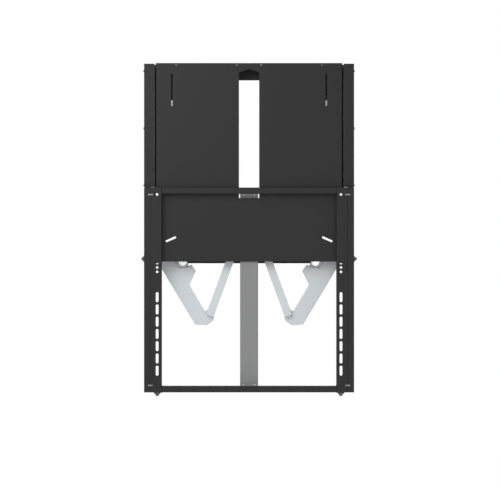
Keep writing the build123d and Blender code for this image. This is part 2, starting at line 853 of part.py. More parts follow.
with BuildPart() as link_pins:
    for side in sides.values():
        centre = seen_from_front(link_pivot, side, 0)
        with BuildSketch(Plane(origin=centre, x_dir=(1, 0, 0), z_dir=(0, 0, -1))):
            turned(
                [
                    (link_pin_radius + 3, link_back_depth - 0.3 - pin_head_height, link_back_depth - 0.3),
                    (link_pin_radius, link_back_depth - 0.3, spine_back),
                    (link_pin_radius + 3, link_front_depth + 0.3, bracket_back),
                ]
            )
        revolve(axis=Axis(centre, (0, 1, 0)))
save(link_pins, "link_pins")

# Outline of an arm in its own axes: along from pivot to elbow, and across towards the inside.
# No point reaches past 289 mm from the pivot, so that the tips of the two arms clear each other.
arm_outline = [
    (-15.0, -18.8),
    (21.0, -33.3),
    (54.7, -37.3),
    (251.0, -63.5),
    (261.3, -65.1),
    (286.7, -36.6),
    (288.2, -21.0),
    (288.8, -10.5),
    (284.5, -5.5),
    (268.4, 9.0),
    (249.4, 4.0),
    (247.1, -12.5),
    (147.1, 1.6),
    (124.9, 47.5),
    (97.7, 48.7),
    (98.5, 35.3),
    (81.7, 7.8),
    (73.6, 10.4),
    (58.4, 12.3),
    (4.0, 23.6),
]
lug_outline = [(50.0, -6.0), (112.0, -4.0), (110.0, 36.0), (76.0, 46.0), (60.0, 34.0)]

for name, side in sides.items():
    arm_along = (seen_from_front(elbow, side, 0) - seen_from_front(arm_pivot, side, 0)).normalized()

    def arm_plane(depth):
        """The plane of an arm at a depth, with X along the arm."""
        return Plane(origin=seen_from_front(arm_pivot, side, depth), x_dir=arm_along, z_dir=(0, -1, 0))

    pin_offset = seen_from_front(spring_pin, side, 0) - seen_from_front(arm_pivot, side, 0)
    across_axis = arm_plane(0).y_dir
    spring_pin_spot = (pin_offset.dot(arm_along), pin_offset.dot(across_axis))

    # Outer arm
    with BuildPart() as outer_arm:
        with BuildSketch(arm_plane(arm_back_depth)) as profile:
            Polygon(*[(along, -side * across) for along, across in arm_outline], align=None)
            Circle(arm_hub_radius)
            fillet(profile.vertices().filter_by_position(Axis.X, 22, 400), arm_corner)
        extrude(amount=arm_thickness)
        front_edges = outer_arm.faces().sort_by(Axis.Y)[0].outer_wire().edges()
        fillet(front_edges, arm_edge_round)
        with BuildSketch(arm_plane(arm_hub_depth)):
            Circle(arm_hub_radius - 6)
        extrude(amount=arm_back_depth - arm_hub_depth)
        with BuildSketch(arm_plane(arm_hub_depth)):
            Circle(arm_pin_radius + running_gap)
            with Locations((arm_length, 0)):
                Circle(link_pin_radius + running_gap)
        extrude(amount=arm_front_depth - arm_hub_depth, mode=Mode.SUBTRACT)
    save(outer_arm, f"outer_arm_{name}")

    # Spring lug behind the arm
    with BuildPart() as spring_lug:
        with BuildSketch(arm_plane(arm_back_depth - lug_thickness)) as profile:
            Polygon(*[(along, -side * across) for along, across in lug_outline], align=None)
            with Locations(spring_pin_spot):
                Circle(lug_radius)
                Circle(link_pin_radius + running_gap, mode=Mode.SUBTRACT)
        extrude(amount=lug_thickness)
    save(spring_lug, f"spring_lug_{name}")

    # Elbow pin and spring pin, riveted in the arm and the lug
    with BuildPart() as arm_pins:
        turned_towards_viewer(
            elbow,
            side,
            [
                (link_pin_radius + 3, arm_back_depth - pin_head_height, arm_back_depth),
                (link_pin_radius, arm_back_depth, link_back_depth - 0.3),
            ],
        )
        lug_back = arm_back_depth - lug_thickness
        turned_towards_viewer(
            spring_pin,
            side,
            [
                (link_pin_radius + 3, lug_back - pin_head_height, lug_back),
                (link_pin_radius, lug_back, eye_front + hook_gap),
                (link_pin_radius + 3, arm_back_depth, eye_back - hook_gap),
                (link_pin_radius + 3, eye_front + hook_gap, eye_front + hook_gap + pin_head_height),
            ],
        )
    save(arm_pins, f"arm_pins_{name}")

    # Pivot pin of the arm, riveted in the bottom beam
    with BuildPart() as arm_pivot_pin:
        turned_towards_viewer(
            arm_pivot,
            side,
            [
                (arm_pin_radius + 3, beam_sheet, arm_hub_depth - 0.3),
                (arm_pin_radius, beam_sheet, arm_front_depth + 0.3),
                (arm_pin_radius + 5, arm_front_depth + 0.3, arm_front_depth + 4.3),
            ],
        )
        pin_rims = arm_pivot_pin.edges().filter_by(GeomType.CIRCLE).group_by(Axis.Y)[0]
        chamfer(pin_rims, 1.5)
    save(arm_pivot_pin, f"arm_pivot_pin_{name}")

    # Inner link: a closed channel that opens towards the wall
    link_top = seen_from_front(link_pivot, side, 0)
    link_foot = seen_from_front(elbow, side, 0)
    link_run = link_foot - link_top
    link_spot = Location(
        ((link_top.X + link_foot.X) / 2, (link_top.Z + link_foot.Z) / 2, 0),
        (0, 0, math.degrees(math.atan2(link_run.Z, link_run.X))),
    )
    with BuildPart() as inner_link:
        with BuildSketch(facing(link_back_depth)):
            with Locations(link_spot):
                RectangleRounded(link_length + 2 * link_end, link_width, link_corner)
        extrude(amount=link_height)
        front_edges = inner_link.faces().sort_by(Axis.Y)[0].outer_wire().edges()
        fillet(front_edges, link_wall - 0.5)
        with BuildSketch(facing(link_back_depth)):
            with Locations(link_spot):
                RectangleRounded(
                    link_length + 2 * (link_end - link_wall), link_width - 2 * link_wall, link_corner - link_wall
                )
        extrude(amount=link_height - link_wall, mode=Mode.SUBTRACT)
        with BuildSketch(facing(link_back_depth)):
            with Locations((link_top.X, link_top.Z), (link_foot.X, link_foot.Z)):
                Circle(link_boss_radius)
        extrude(amount=link_height - link_wall)
        with BuildSketch(facing(link_back_depth)):
            with Locations((link_top.X, link_top.Z)):
                Circle(link_pin_radius + running_gap)
        extrude(amount=link_height, mode=Mode.SUBTRACT)
        with BuildSketch(facing(link_back_depth)):
            with Locations((link_foot.X, link_foot.Z)):
                Circle(link_pin_radius + running_gap)
        extrude(amount=link_height - link_wall, mode=Mode.SUBTRACT)
    save(inner_link, f"inner_link_{name}")

    # Tension screw with a socket head, hung from the anchor
    screw_axis = (side * indicator_x, -spring_depth)
    head_low = anchor_top + washer_thickness
    with BuildPart() as tension_screw:
        with BuildSketch(Plane.XY.offset(box_top - screw_tail_below_top)):
            with Locations(screw_axis):
                Circle(screw_radius)
        extrude(amount=head_low - box_top + screw_tail_below_top)
        with BuildSketch(Plane.XY.offset(head_low)):
            with Locations(screw_axis):
                Circle(screw_head_radius)
        extrude(amount=screw_head_height)
        chamfer(tension_screw.faces().sort_by(Axis.Z)[-1].edges(), 1)
        with BuildSketch(Plane.XY.offset(head_low + screw_head_height)):
            with Locations(screw_axis):
                RegularPolygon(screw_socket / 2, 6, major_radius=False)
        extrude(amount=-screw_head_height / 2, mode=Mode.SUBTRACT)
    save(tension_screw, f"tension_screw_{name}")

    # Tension nut: threaded block, pointer behind the indicator slot and a yoke around the screw tail
    nut_low = box_top - indicator_slot_bottom
    nut_half = coil_radius + coil_wire / 2
    yoke_low = spring_hook.Y - hook_radius
    with BuildPart() as tension_nut:
        with BuildSketch(Plane.XY.offset(nut_low)):
            with Locations(screw_axis):
                Rectangle(nut_width, 2 * nut_half)
                Circle(screw_radius + running_gap, mode=Mode.SUBTRACT)
            pointer_front = cover_back - pointer_gap
            pointer_back = spring_depth + nut_half
            with Locations((side * indicator_x, -(pointer_front + pointer_back) / 2)):
                Rectangle(pointer_width, pointer_front - pointer_back)
        extrude(amount=nut_height)
        with BuildSketch(Plane.XY.offset(yoke_low)):
            for reach in (nut_half - nut_yoke_sheet / 2, -nut_half + nut_yoke_sheet / 2):
                with Locations((side * indicator_x, -spring_depth + reach)):
                    Rectangle(nut_yoke_width, nut_yoke_sheet)
        extrude(amount=nut_low - yoke_low)
        with BuildSketch(facing(spring_depth - nut_half)):
            with Locations((side * indicator_x, spring_hook.Y)):
                Circle(hook_pin_radius + running_gap)
        extrude(amount=2 * nut_half, mode=Mode.SUBTRACT)
        with BuildSketch(facing(pointer_front)):
            with Locations((side * indicator_x, nut_low + nut_height / 2)):
                Rectangle(pointer_width, 1)
        extrude(amount=-1, mode=Mode.SUBTRACT)
    save(tension_nut, f"tension_nut_{name}")

    with BuildPart() as yoke_pin:
        turned_towards_viewer(
            spring_hook,
            side,
            [
                (hook_pin_radius, spring_depth - nut_half - 2.5, spring_depth + nut_half),
                (hook_pin_radius + 2, spring_depth - nut_half - 2.5, spring_depth - nut_half),
                (hook_pin_radius + 2, spring_depth + nut_half, spring_depth + nut_half + 1.5),
            ],
        )
    save(yoke_pin, f"yoke_pin_{name}")

    # Spring with its top plug and the pull rod, all on one slanted line
    hook_point = seen_from_front(spring_hook, side, spring_depth)
    pin_point = seen_from_front(spring_pin, side, spring_depth)
    spring_down = (pin_point - hook_point).normalized()
    # the X axis of these planes is the viewing direction, which every profile below shares
    plug_plane = Plane(origin=hook_point, x_dir=(0, -1, 0), z_dir=spring_down)
    rod_plane = Plane(origin=pin_point, x_dir=(0, -1, 0), z_dir=-spring_down)

    with BuildPart() as spring_top_plug:
        with BuildSketch(facing(spring_depth - hook_thickness / 2)):
            with Locations((hook_point.X, hook_point.Z)):
                Circle(hook_radius)
        extrude(amount=hook_thickness)
        with BuildSketch(plug_plane):
            Circle(rod_radius)
        extrude(amount=plug_start)
        with BuildSketch(plug_plane.offset(plug_start)):
            Circle(plug_radius)
        extrude(amount=plug_length)
        with BuildSketch(facing(spring_depth - hook_thickness / 2)):
            with Locations((hook_point.X, hook_point.Z)):
                Circle(hook_pin_radius + running_gap)
        extrude(amount=hook_thickness, mode=Mode.SUBTRACT)
    save(spring_top_plug, f"spring_top_plug_{name}")

    with BuildPart() as pull_rod:
        with BuildSketch(facing(eye_back)):
            with Locations((pin_point.X, pin_point.Z)):
                Circle(eye_radius)
        extrude(amount=eye_thickness)
        with BuildSketch(rod_plane):
            Circle(rod_radius)
        extrude(amount=rod_reach)
        with BuildSketch(rod_plane.offset(rod_reach)):
            Circle(plug_radius)
        extrude(amount=plug_length)
        with BuildSketch(facing(eye_back)):
            with Locations((pin_point.X, pin_point.Z)):
                Circle(link_pin_radius + running_gap)
        extrude(amount=eye_thickness, mode=Mode.SUBTRACT)
    save(pull_rod, f"pull_rod_{name}")

    # Coil: half turns of the helix, each drawn as two arcs that meet smoothly
    coil_length = spring_length - 2 * coil_start - rod_reach + plug_start
    pitch = coil_length / coil_turns
    climb = pitch / (2 * math.pi)
    coil_top = hook_point + spring_down * coil_start
    coil_front = plug_plane.x_dir * coil_radius
    coil_side = plug_plane.y_dir * coil_radius

    def coil_point(angle):
        """A point of the wire's centre line."""
        around = coil_front * math.cos(angle) + coil_side * math.sin(angle)
        return coil_top + around + spring_down * (climb * angle)

    def coil_direction(angle):
        """The direction of the wire there."""
        around = coil_side * math.cos(angle) - coil_front * math.sin(angle)
        return (around + spring_down * climb).normalized()

    half_turns = 2 * coil_turns
    with BuildPart() as spring:
        with BuildLine() as wire:
            lead_in = coil_point(0) - coil_direction(0) * coil_wire
            Line(lead_in, coil_point(0))
            for turn in range(half_turns):
                start, end = coil_point(turn * math.pi), coil_point((turn + 1) * math.pi)
                out, into = coil_direction(turn * math.pi), coil_direction((turn + 1) * math.pi)
                chord = end - start
                both = chord.dot(out + into)
                spread = 2 * (1 - out.dot(into))
                reach = (math.sqrt(both**2 + spread * chord.dot(chord)) - both) / spread
                meeting = (start + end + (out - into) * reach) / 2
                TangentArc(start, meeting, tangent=out)
                TangentArc(meeting, end, tangent=(end - into * reach) - (start + out * reach))
            last = half_turns * math.pi
            Line(coil_point(last), coil_point(last) + coil_direction(last) * coil_wire)
        with BuildSketch(Plane(origin=lead_in, z_dir=coil_direction(0))):
            Circle(coil_wire / 2)
        sweep(path=wire.wires()[0])
    save(spring, f"spring_{name}")
    wire_volume = math.pi * (coil_wire / 2) ** 2 * wire.wires()[0].length
    print(f"spring {name}: swept {spring.part.volume:.0f} mm3, section times length {wire_volume:.0f} mm3")

# Least gap between neighbouring turns, measured on points of the wire
samples = [coil_point(math.radians(step * 10)) for step in range(36 * coil_turns)]
nearest = min(
    (samples[one] - samples[other]).length
    for one in range(0, 72, 3)
    for other in range(one + 24, one + 54)
)
print(f"coil gap {nearest - coil_wire:.2f} mm, least allowed {coil_gap_least} mm")


def solved(rise):
    """True angles of arm and link, in degrees, with the left carriage pivot raised by rise."""
    raised = link_pivot + Vector(0, rise)
    across = raised - arm_pivot
    span = across.length
    opening = math.acos((arm_length**2 + span**2 - link_length**2) / (2 * arm_length * span))
    arm_angle = math.atan2(across.Y, across.X) - opening
    tip = arm_pivot + Vector(math.cos(arm_angle), math.sin(arm_angle)) * arm_length
    return math.degrees(arm_angle), math.degrees(math.atan2(tip.Y - raised.Y, tip.X - raised.X))


def spring_lean(arm_turn):
    """Angle of the spring's line in degrees, once the left arm has turned by arm_turn."""
    pin = arm_pivot + (spring_pin - arm_pivot).rotate(Axis.Z, arm_turn)
    line = pin - spring_hook
    return math.degrees(math.atan2(line.Y, line.X)), line.length


low_arm, low_link = solved(0)
high_arm, high_link = solved(travel)
arm_turn = high_arm - low_arm
low_lean, low_span = spring_lean(0)
high_lean, high_span = spring_lean(arm_turn)
print(f"arm pivot {arm_pivot}, elbow {elbow}, link pivot {link_pivot}")
print(f"spring pin {spring_pin}, spring hook {spring_hook}, spring length {low_span:.1f} to {high_span:.1f}")
print(f"arm turns {arm_turn:.3f}, link turns {high_link - low_link:.3f}, spring turns {high_lean - low_lean:.3f}")
print(f"nut rises {nut_rise}, screw turns {nut_rise / screw_lead * 360:.1f} degrees")
print(f"roller turns {math.degrees(travel / (roller_diameter / 2)):.1f} degrees")
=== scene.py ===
"""Finishes, hardware and studio for a counterbalanced wall mount.

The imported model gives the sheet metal. This file coats it, and makes the pieces whose shape needs
more than plain solids: wound springs, threaded screws, bearings, socket heads, hexagon bolts and
weld beads. Lengths are metres. X runs to the viewer's right, Z up, and the viewer stands at -Y.
"""

import math

import bpy
from mathutils import Matrix, Vector


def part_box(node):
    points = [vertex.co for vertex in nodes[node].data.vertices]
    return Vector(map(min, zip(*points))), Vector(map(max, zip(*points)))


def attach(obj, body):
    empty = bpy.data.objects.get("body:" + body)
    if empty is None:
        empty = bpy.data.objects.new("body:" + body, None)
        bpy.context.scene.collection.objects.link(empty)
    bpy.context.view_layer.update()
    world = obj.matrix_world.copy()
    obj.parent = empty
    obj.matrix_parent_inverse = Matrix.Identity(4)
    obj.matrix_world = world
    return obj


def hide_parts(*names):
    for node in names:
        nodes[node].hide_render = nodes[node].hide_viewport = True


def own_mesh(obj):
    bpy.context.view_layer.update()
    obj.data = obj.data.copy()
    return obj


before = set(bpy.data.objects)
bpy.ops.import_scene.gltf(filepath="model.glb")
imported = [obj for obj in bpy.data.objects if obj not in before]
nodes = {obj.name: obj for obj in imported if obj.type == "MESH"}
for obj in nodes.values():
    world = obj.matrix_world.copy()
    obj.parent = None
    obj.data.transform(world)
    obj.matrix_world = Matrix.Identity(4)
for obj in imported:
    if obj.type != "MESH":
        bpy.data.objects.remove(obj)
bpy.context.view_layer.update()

bl_info = {
    "name": "Sliding Display Mount",
    "version": (1, 0, 0),
    "blender": (4, 5, 0),
    "location": "View3D > Sidebar > Display Mount",
    "description": "Coats, hardware and studio for a counterbalanced wall mount",
    "category": "Object",
}

SIDES = {"left": -1, "right": 1}
MM = 0.001
FULL_TURN = 2 * math.pi
FINISH = "finish_"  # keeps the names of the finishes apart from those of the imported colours
WHITE = (1, 1, 1, 1)
DUST_COLOUR = (0.36, 0.35, 0.33)
EVEN_LINES = (900.0, 900.0, 900.0)  # surface lines in a metre along X, Y and Z


# Settings

def colour(name, default, description):
    """A colour setting, written as the linear values that the shader takes."""
    return bpy.props.FloatVectorProperty(
        name=name, description=description, subtype="COLOR", size=3, min=0, max=1, default=default
    )


def length(name, default, description):
    """A length setting in metres."""
    return bpy.props.FloatProperty(
        name=name, description=description, unit="LENGTH", min=0, precision=5, default=default
    )


def share(name, default, description):
    """A setting from none to full."""
    return bpy.props.FloatProperty(
        name=name, description=description, subtype="FACTOR", min=0, max=1, default=default
    )


def power(name, default, description):
    """The power of a lamp."""
    return bpy.props.FloatProperty(
        name=name, description=description, subtype="POWER", min=0, default=default
    )


class CoatSettings(bpy.types.PropertyGroup):
    """Colours and surface of the powder coats"""

    black: colour("Black Coat", (0.0150, 0.0150, 0.0152), "Cover, rails, beams and crossbars")
    silver: colour("Silver Coat", (0.600, 0.635, 0.660), "Outer arms, inner links, spring lugs")
    grey: colour("Grey Coat", (0.225, 0.226, 0.229), "Spine and inner brackets")
    grain: length("Grain Size", 0.0011, "Width of one bump of the coat's fine texture")
    grain_depth: share("Grain Depth", 0.30, "Strength of the coat's fine texture")
    edge_radius: length("Edge Radius", 0.0005, "Rounding that the coat gives to sheet edges")
    # Lightens the coat along edges and corners: partly the coat worn thin, partly a painted
    # highlight
    edge_wear_and_highlight: share("Edge Wear", 0.25, "How far edges and corners have polished lighter")


class MetalSettings(bpy.types.PropertyGroup):
    """Colours of bare and plated metal, nylon and rubber"""

    zinc: colour("Zinc Plate", (0.62, 0.63, 0.65), "Pins, axles, nuts and bright screws")
    galvanised: colour("Galvanised Sheet", (0.52, 0.54, 0.56), "Roller guides")
    oxide: colour("Black Oxide", (0.030, 0.030, 0.033), "Socket screws and flange bolts")
    wire: colour("Spring Wire", (0.120, 0.124, 0.132), "Oiled wire of the tension springs")
    nylon: colour("Nylon", (0.73, 0.72, 0.67), "Tyres of the rollers, end rings of the springs")
    rubber: colour("Rubber", (0.022, 0.022, 0.023), "End stops of the guides")
    spangle: length("Spangle Size", 0.009, "Width of one crystal of the galvanised sheet")


class HardwareSettings(bpy.types.PropertyGroup):
    """Sizes of the turned, wound and threaded hardware"""

    wire_radius: length("Wire Radius", 0.0025, "Half the thickness of the spring wire")
    coil_radius: length("Coil Radius", 0.0165, "From a spring's axis to the middle of its wire")
    coil_turns: bpy.props.IntProperty(
        name="Coil Turns", description="Turns of one tension spring", min=4, max=40, default=24
    )
    thread_lead: length("Thread Lead", 0.003, "Rise of a tension screw's thread in one turn")
    thread_depth: length("Thread Depth", 0.0009, "Depth of that thread")
    socket_width: length("Key Size", 0.008, "Width across the flats of the tension screws' sockets")
    small_socket: length("Small Key Size", 0.003, "The same for the cover screws")
    weld_width: length("Weld Width", 0.0036, "Width of the beads at the corners of the carriage")


class StageSettings(bpy.types.PropertyGroup):
    """Camera, floor and lamps"""

    camera_distance: length("Camera Distance", 9.0, "From the camera to the front of the box")
    view_width: length("View Width", 1.637, "Width of the picture at the front of the box")
    camera_x: length("Camera X", 0.003, "Sideways place of the camera")
    camera_drop: length("Camera Drop", 0.2851, "Camera height below the frame's origin")
    floor_drop: length("Floor Drop", 1.25, "Floor below the frame's origin")
    floor: colour("Floor Colour", (0.86, 0.86, 0.86), "Plain pale floor")
    key: power("Key Power", 23, "Power of the large lamp")
    fill: power("Fill Power", 14, "Power of the low front lamp")
    rear: power("Rear Power", 34, "Power of the lamp on the wall side")
    ambient: bpy.props.FloatProperty(
        name="Ambient", description="Light of the plain surroundings", min=0, default=0.55
    )


# Shader node groups, each used by several materials

def new_group(name, inputs, outputs):
    """A shader node group with named sockets, and its input and output nodes."""
    group = bpy.data.node_groups.new(name, "ShaderNodeTree")
    for socket, kind, default in inputs:
        made = group.interface.new_socket(name=socket, in_out="INPUT", socket_type=kind)
        if default is not None:
            made.default_value = default
    for socket, kind in outputs:
        group.interface.new_socket(name=socket, in_out="OUTPUT", socket_type=kind)
    return group, group.nodes.new("NodeGroupInput"), group.nodes.new("NodeGroupOutput")


def node(tree, kind, settings=None, **values):
    """A node whose inputs are set or linked by name, or by number as i0, i1 and so on."""
    made = tree.nodes.new(kind)
    for key, value in (settings or {}).items():
        setattr(made, key, value)
    for key, value in values.items():
        numbered = key[0] == "i" and key[1:].isdigit()
        socket = made.inputs[int(key[1:]) if numbered else key.replace("_", " ")]
        if isinstance(value, bpy.types.NodeSocket):
            tree.links.new(value, socket)
        else:
            socket.default_value = value
    return made


def ramp(tree, value, low, high, out_low=0.0, out_high=1.0):
    """Spreads a value between two limits, clamped."""
    limits = {"i1": low, "i2": high, "i3": out_low, "i4": out_high}
    return node(tree, "ShaderNodeMapRange", {"clamp": True}, i0=value, **limits).outputs[0]


def maths(tree, operation, one, two=0.0):
    """One step of arithmetic."""
    return node(tree, "ShaderNodeMath", {"operation": operation}, i0=one, i1=two).outputs[0]


def vector_maths(tree, operation, one, two):
    """The outputs of one step of arithmetic on vectors."""
    return node(tree, "ShaderNodeVectorMath", {"operation": operation}, i0=one, i1=two).outputs


def noise(tree, vector, scale, detail):
    """A noise texture."""
    return node(tree, "ShaderNodeTexNoise", Vector=vector, Scale=scale, Detail=detail).outputs


def powder_grain_group():
    """Fine orange-peel of a powder coat: height, and a speckle of lighter grains."""
    group, given, out = new_group(
        "Powder Grain",
        [("Vector", "NodeSocketVector", None), ("Size", "NodeSocketFloat", 0.001)],
        [("Height", "NodeSocketFloat"), ("Speckle", "NodeSocketFloat")],
    )
    place = given.outputs["Vector"]
    scale = maths(group, "DIVIDE", 1.0, given.outputs["Size"])
    peel = noise(group, place, scale, 3.0)[0]
    fine = maths(group, "MULTIPLY", scale, 2.6)
    grains = node(group, "ShaderNodeTexVoronoi", Vector=place, Scale=fine).outputs["Distance"]
    domes = ramp(group, grains, 0.1, 0.75, 1.0, 0.0)
    height = maths(group, "ADD", maths(group, "MULTIPLY", domes, 0.45), peel)
    group.links.new(height, out.inputs["Height"])
    group.links.new(ramp(group, grains, 0.0, 0.22, 1.0, 0.0), out.inputs["Speckle"])


def rounded_edge_group():
    """Normals of an edge that is slightly round, and a mask of where edges are."""
    group, given, out = new_group(
        "Rounded Edge",
        [("Radius", "NodeSocketFloat", 0.0005)],
        [("Normal", "NodeSocketVector"), ("Edge", "NodeSocketFloat")],
    )
    radius = given.outputs["Radius"]
    bevel = node(group, "ShaderNodeBevel", {"samples": 6}, Radius=radius).outputs[0]
    plain = node(group, "ShaderNodeNewGeometry").outputs["Normal"]
    alike = vector_maths(group, "DOT_PRODUCT", bevel, plain)["Value"]
    group.links.new(bevel, out.inputs["Normal"])
    group.links.new(ramp(group, alike, 0.86, 0.998, 1.0, 0.0), out.inputs["Edge"])


def handling_group():
    """Broad cloudiness of a handled surface, with dust that settles on faces that look up."""
    group, given, out = new_group(
        "Handling",
        [("Vector", "NodeSocketVector", None), ("Dust", "NodeSocketFloat", 0.3)],
        [
            ("Cloud", "NodeSocketFloat"),
            ("Scratch", "NodeSocketFloat"),
            ("Dust", "NodeSocketFloat"),
        ],
    )
    place = given.outputs["Vector"]
    cloud = noise(group, place, 7.0, 4.0)[0]
    drawn_out = node(
        group, "ShaderNodeMapping", i0=place, Rotation=(0.35, 0.2, 0.5), Scale=(14.0, 14.0, 900.0)
    )
    hair = noise(group, drawn_out.outputs[0], 1.0, 2.0)[0]
    scratch = maths(group, "MULTIPLY", ramp(group, cloud, 0.52, 0.7), ramp(group, hair, 0.70, 0.76))
    normal = node(group, "ShaderNodeNewGeometry").outputs["Normal"]
    upward = node(group, "ShaderNodeSeparateXYZ", i0=normal).outputs["Z"]
    mottled = ramp(group, cloud, 0.3, 0.7, 0.35, 1.0)
    settled = maths(group, "MULTIPLY", ramp(group, upward, 0.55, 0.98), mottled)
    dust = maths(group, "MULTIPLY", settled, given.outputs["Dust"])
    group.links.new(cloud, out.inputs["Cloud"])
    group.links.new(scratch, out.inputs["Scratch"])
    group.links.new(dust, out.inputs["Dust"])


def metal_lines_group():
    """Tone and height of fine lines left by drawing, rolling or turning along one axis."""
    group, given, out = new_group(
        "Metal Lines",
        [
            ("Vector", "NodeSocketVector", None),
            ("Stretch", "NodeSocketVector", (2500.0, 2500.0, 40.0)),
        ],
        [("Tone", "NodeSocketFloat"), ("Height", "NodeSocketFloat")],
    )
    place = given.outputs["Vector"]
    drawn_out = vector_maths(group, "MULTIPLY", place, given.outputs["Stretch"])[0]
    lines = noise(group, drawn_out, 1.0, 3.0)[0]
    stain = noise(group, place, 55.0, 5.0)[0]
    halves = [maths(group, "MULTIPLY", part, 0.5) for part in (lines, stain)]
    tone = maths(group, "ADD", *halves)
    group.links.new(ramp(group, tone, 0.3, 0.7), out.inputs["Tone"])
    group.links.new(lines, out.inputs["Height"])


def mixed(tree, factor, one, two):
    """A colour between two others."""
    made = tree.nodes.new("ShaderNodeMix")
    made.data_type = "RGBA"
    # The node's sockets for colours are inputs 6 and 7 and output 2
    for socket, value in ((made.inputs[0], factor), (made.inputs[6], one), (made.inputs[7], two)):
        if isinstance(value, bpy.types.NodeSocket):
            tree.links.new(value, socket)
        else:
            socket.default_value = (*value[:3], 1.0)
    return made.outputs[2]


def placed(tree, name, **values):
    """One of the node groups, placed in a material with its own values."""
    group = {"node_tree": bpy.data.node_groups[name]}
    return node(tree, "ShaderNodeGroup", group, **values).outputs


def lighter(base, amount):
    """The colour moved towards white, or towards black when the amount is negative."""
    target = 1.0 if amount > 0 else 0.0
    return tuple(c + (target - c) * abs(amount) for c in base)


def shaded(base, factor):
    """The colour made darker or lighter in proportion."""
    return tuple(min(c * factor, 1.0) for c in base)


def new_material(name):
    """An empty material: its node tree, its Principled shader and its object coordinates."""
    material = bpy.data.materials.new(FINISH + name)
    material.use_nodes = True
    tree = material.node_tree
    tree.nodes.clear()
    shader = tree.nodes.new("ShaderNodeBsdfPrincipled")
    output = tree.nodes.new("ShaderNodeOutputMaterial")
    tree.links.new(shader.outputs[0], output.inputs[0])
    return material, tree, shader, tree.nodes.new("ShaderNodeTexCoord").outputs["Object"]


def finish_surface(tree, shader, tone, roughness, edge, height, strength, distance):
    """Links a colour, a roughness and a bump over the rounded edges to the shader."""
    tree.links.new(tone, shader.inputs["Base Color"])
    tree.links.new(roughness, shader.inputs["Roughness"])
    bump = node(
        tree, "ShaderNodeBump", Strength=strength, Distance=distance, Height=height,
        Normal=edge["Normal"],
    )
    tree.links.new(bump.outputs[0], shader.inputs["Normal"])


def coat_material(name, base, coats, roughness, speckle, dust, lift, gloss):
    """Powder coat on folded sheet."""
    _, tree, shader, place = new_material(name)
    edge = placed(tree, "Rounded Edge", Radius=coats.edge_radius)
    grain = placed(tree, "Powder Grain", Vector=place, Size=coats.grain)
    use = placed(tree, "Handling", Vector=place, Dust=dust)
    cloud = ramp(tree, use["Cloud"], 0.32, 0.68)
    speckled = maths(tree, "MULTIPLY", grain["Speckle"], speckle)
    # Edges and corners made lighter: partly the coat worn thin, partly a painted highlight along
    # every edge
    lighter_edges = maths(tree, "MULTIPLY", edge["Edge"], coats.edge_wear_and_highlight)
    scratched = maths(tree, "MULTIPLY", use["Scratch"], 0.10)
    tone = mixed(tree, cloud, shaded(base, 1 - lift), shaded(base, 1 + lift))
    tone = mixed(tree, speckled, tone, lighter(base, 0.05))
    tone = mixed(tree, lighter_edges, tone, lighter(base, 0.16))
    tone = mixed(tree, scratched, tone, lighter(base, 0.2))
    tone = mixed(tree, use["Dust"], tone, DUST_COLOUR)
    rough = ramp(tree, use["Cloud"], 0.25, 0.75, roughness - 0.02, roughness + 0.02)
    rough = maths(tree, "SUBTRACT", rough, maths(tree, "MULTIPLY", lighter_edges, 0.3))
    rough = maths(tree, "ADD", rough, maths(tree, "MULTIPLY", use["Dust"], 0.4))
    finish_surface(
        tree, shader, tone, rough, edge, grain["Height"],
        strength=coats.grain_depth, distance=0.00012,
    )
    shader.inputs["Specular IOR Level"].default_value = gloss


def metal_material(
    name, base, roughness, depth, edge_radius, stretch=EVEN_LINES, contrast=0.22, metallic=1.0
):
    """Plated, oxidised or bare metal with its working lines."""
    _, tree, shader, place = new_material(name)
    edge = placed(tree, "Rounded Edge", Radius=edge_radius)
    lines = placed(tree, "Metal Lines", Vector=place, Stretch=stretch)
    use = placed(tree, "Handling", Vector=place, Dust=0.12)
    lighter_edges = maths(tree, "MULTIPLY", edge["Edge"], 0.35)
    tone = mixed(tree, lines["Tone"], lighter(base, -contrast), lighter(base, contrast * 0.4))
    tone = mixed(tree, lighter_edges, tone, lighter(base, 0.3))
    tone = mixed(tree, use["Dust"], tone, DUST_COLOUR)
    rough = ramp(tree, lines["Tone"], 0.0, 1.0, roughness + 0.08, roughness - 0.06)
    rough = maths(tree, "ADD", rough, use["Dust"])
    finish_surface(
        tree, shader, tone, rough, edge, lines["Height"], strength=depth, distance=0.00006
    )
    shader.inputs["Metallic"].default_value = metallic


def galvanised_material(metals):
    """Hot-dipped sheet with its crystals."""
    _, tree, shader, place = new_material("galvanised_sheet")
    warp = noise(tree, place, 160.0, 2.0)["Color"]
    shift = vector_maths(tree, "MULTIPLY", warp, (0.003, 0.003, 0.003))[0]
    bent = vector_maths(tree, "ADD", place, shift)[0]
    crystals = node(tree, "ShaderNodeTexVoronoi", Vector=bent, Scale=1.0 / metals.spangle)
    split = node(tree, "ShaderNodeSeparateColor", i0=crystals.outputs["Color"]).outputs
    edge = placed(tree, "Rounded Edge", Radius=0.0004)
    base = metals.galvanised
    tone = mixed(tree, split[0], lighter(base, -0.2), lighter(base, 0.15))
    tree.links.new(tone, shader.inputs["Base Color"])
    tree.links.new(ramp(tree, split[1], 0.0, 1.0, 0.30, 0.52), shader.inputs["Roughness"])
    tree.links.new(edge["Normal"], shader.inputs["Normal"])
    shader.inputs["Metallic"].default_value = 0.9


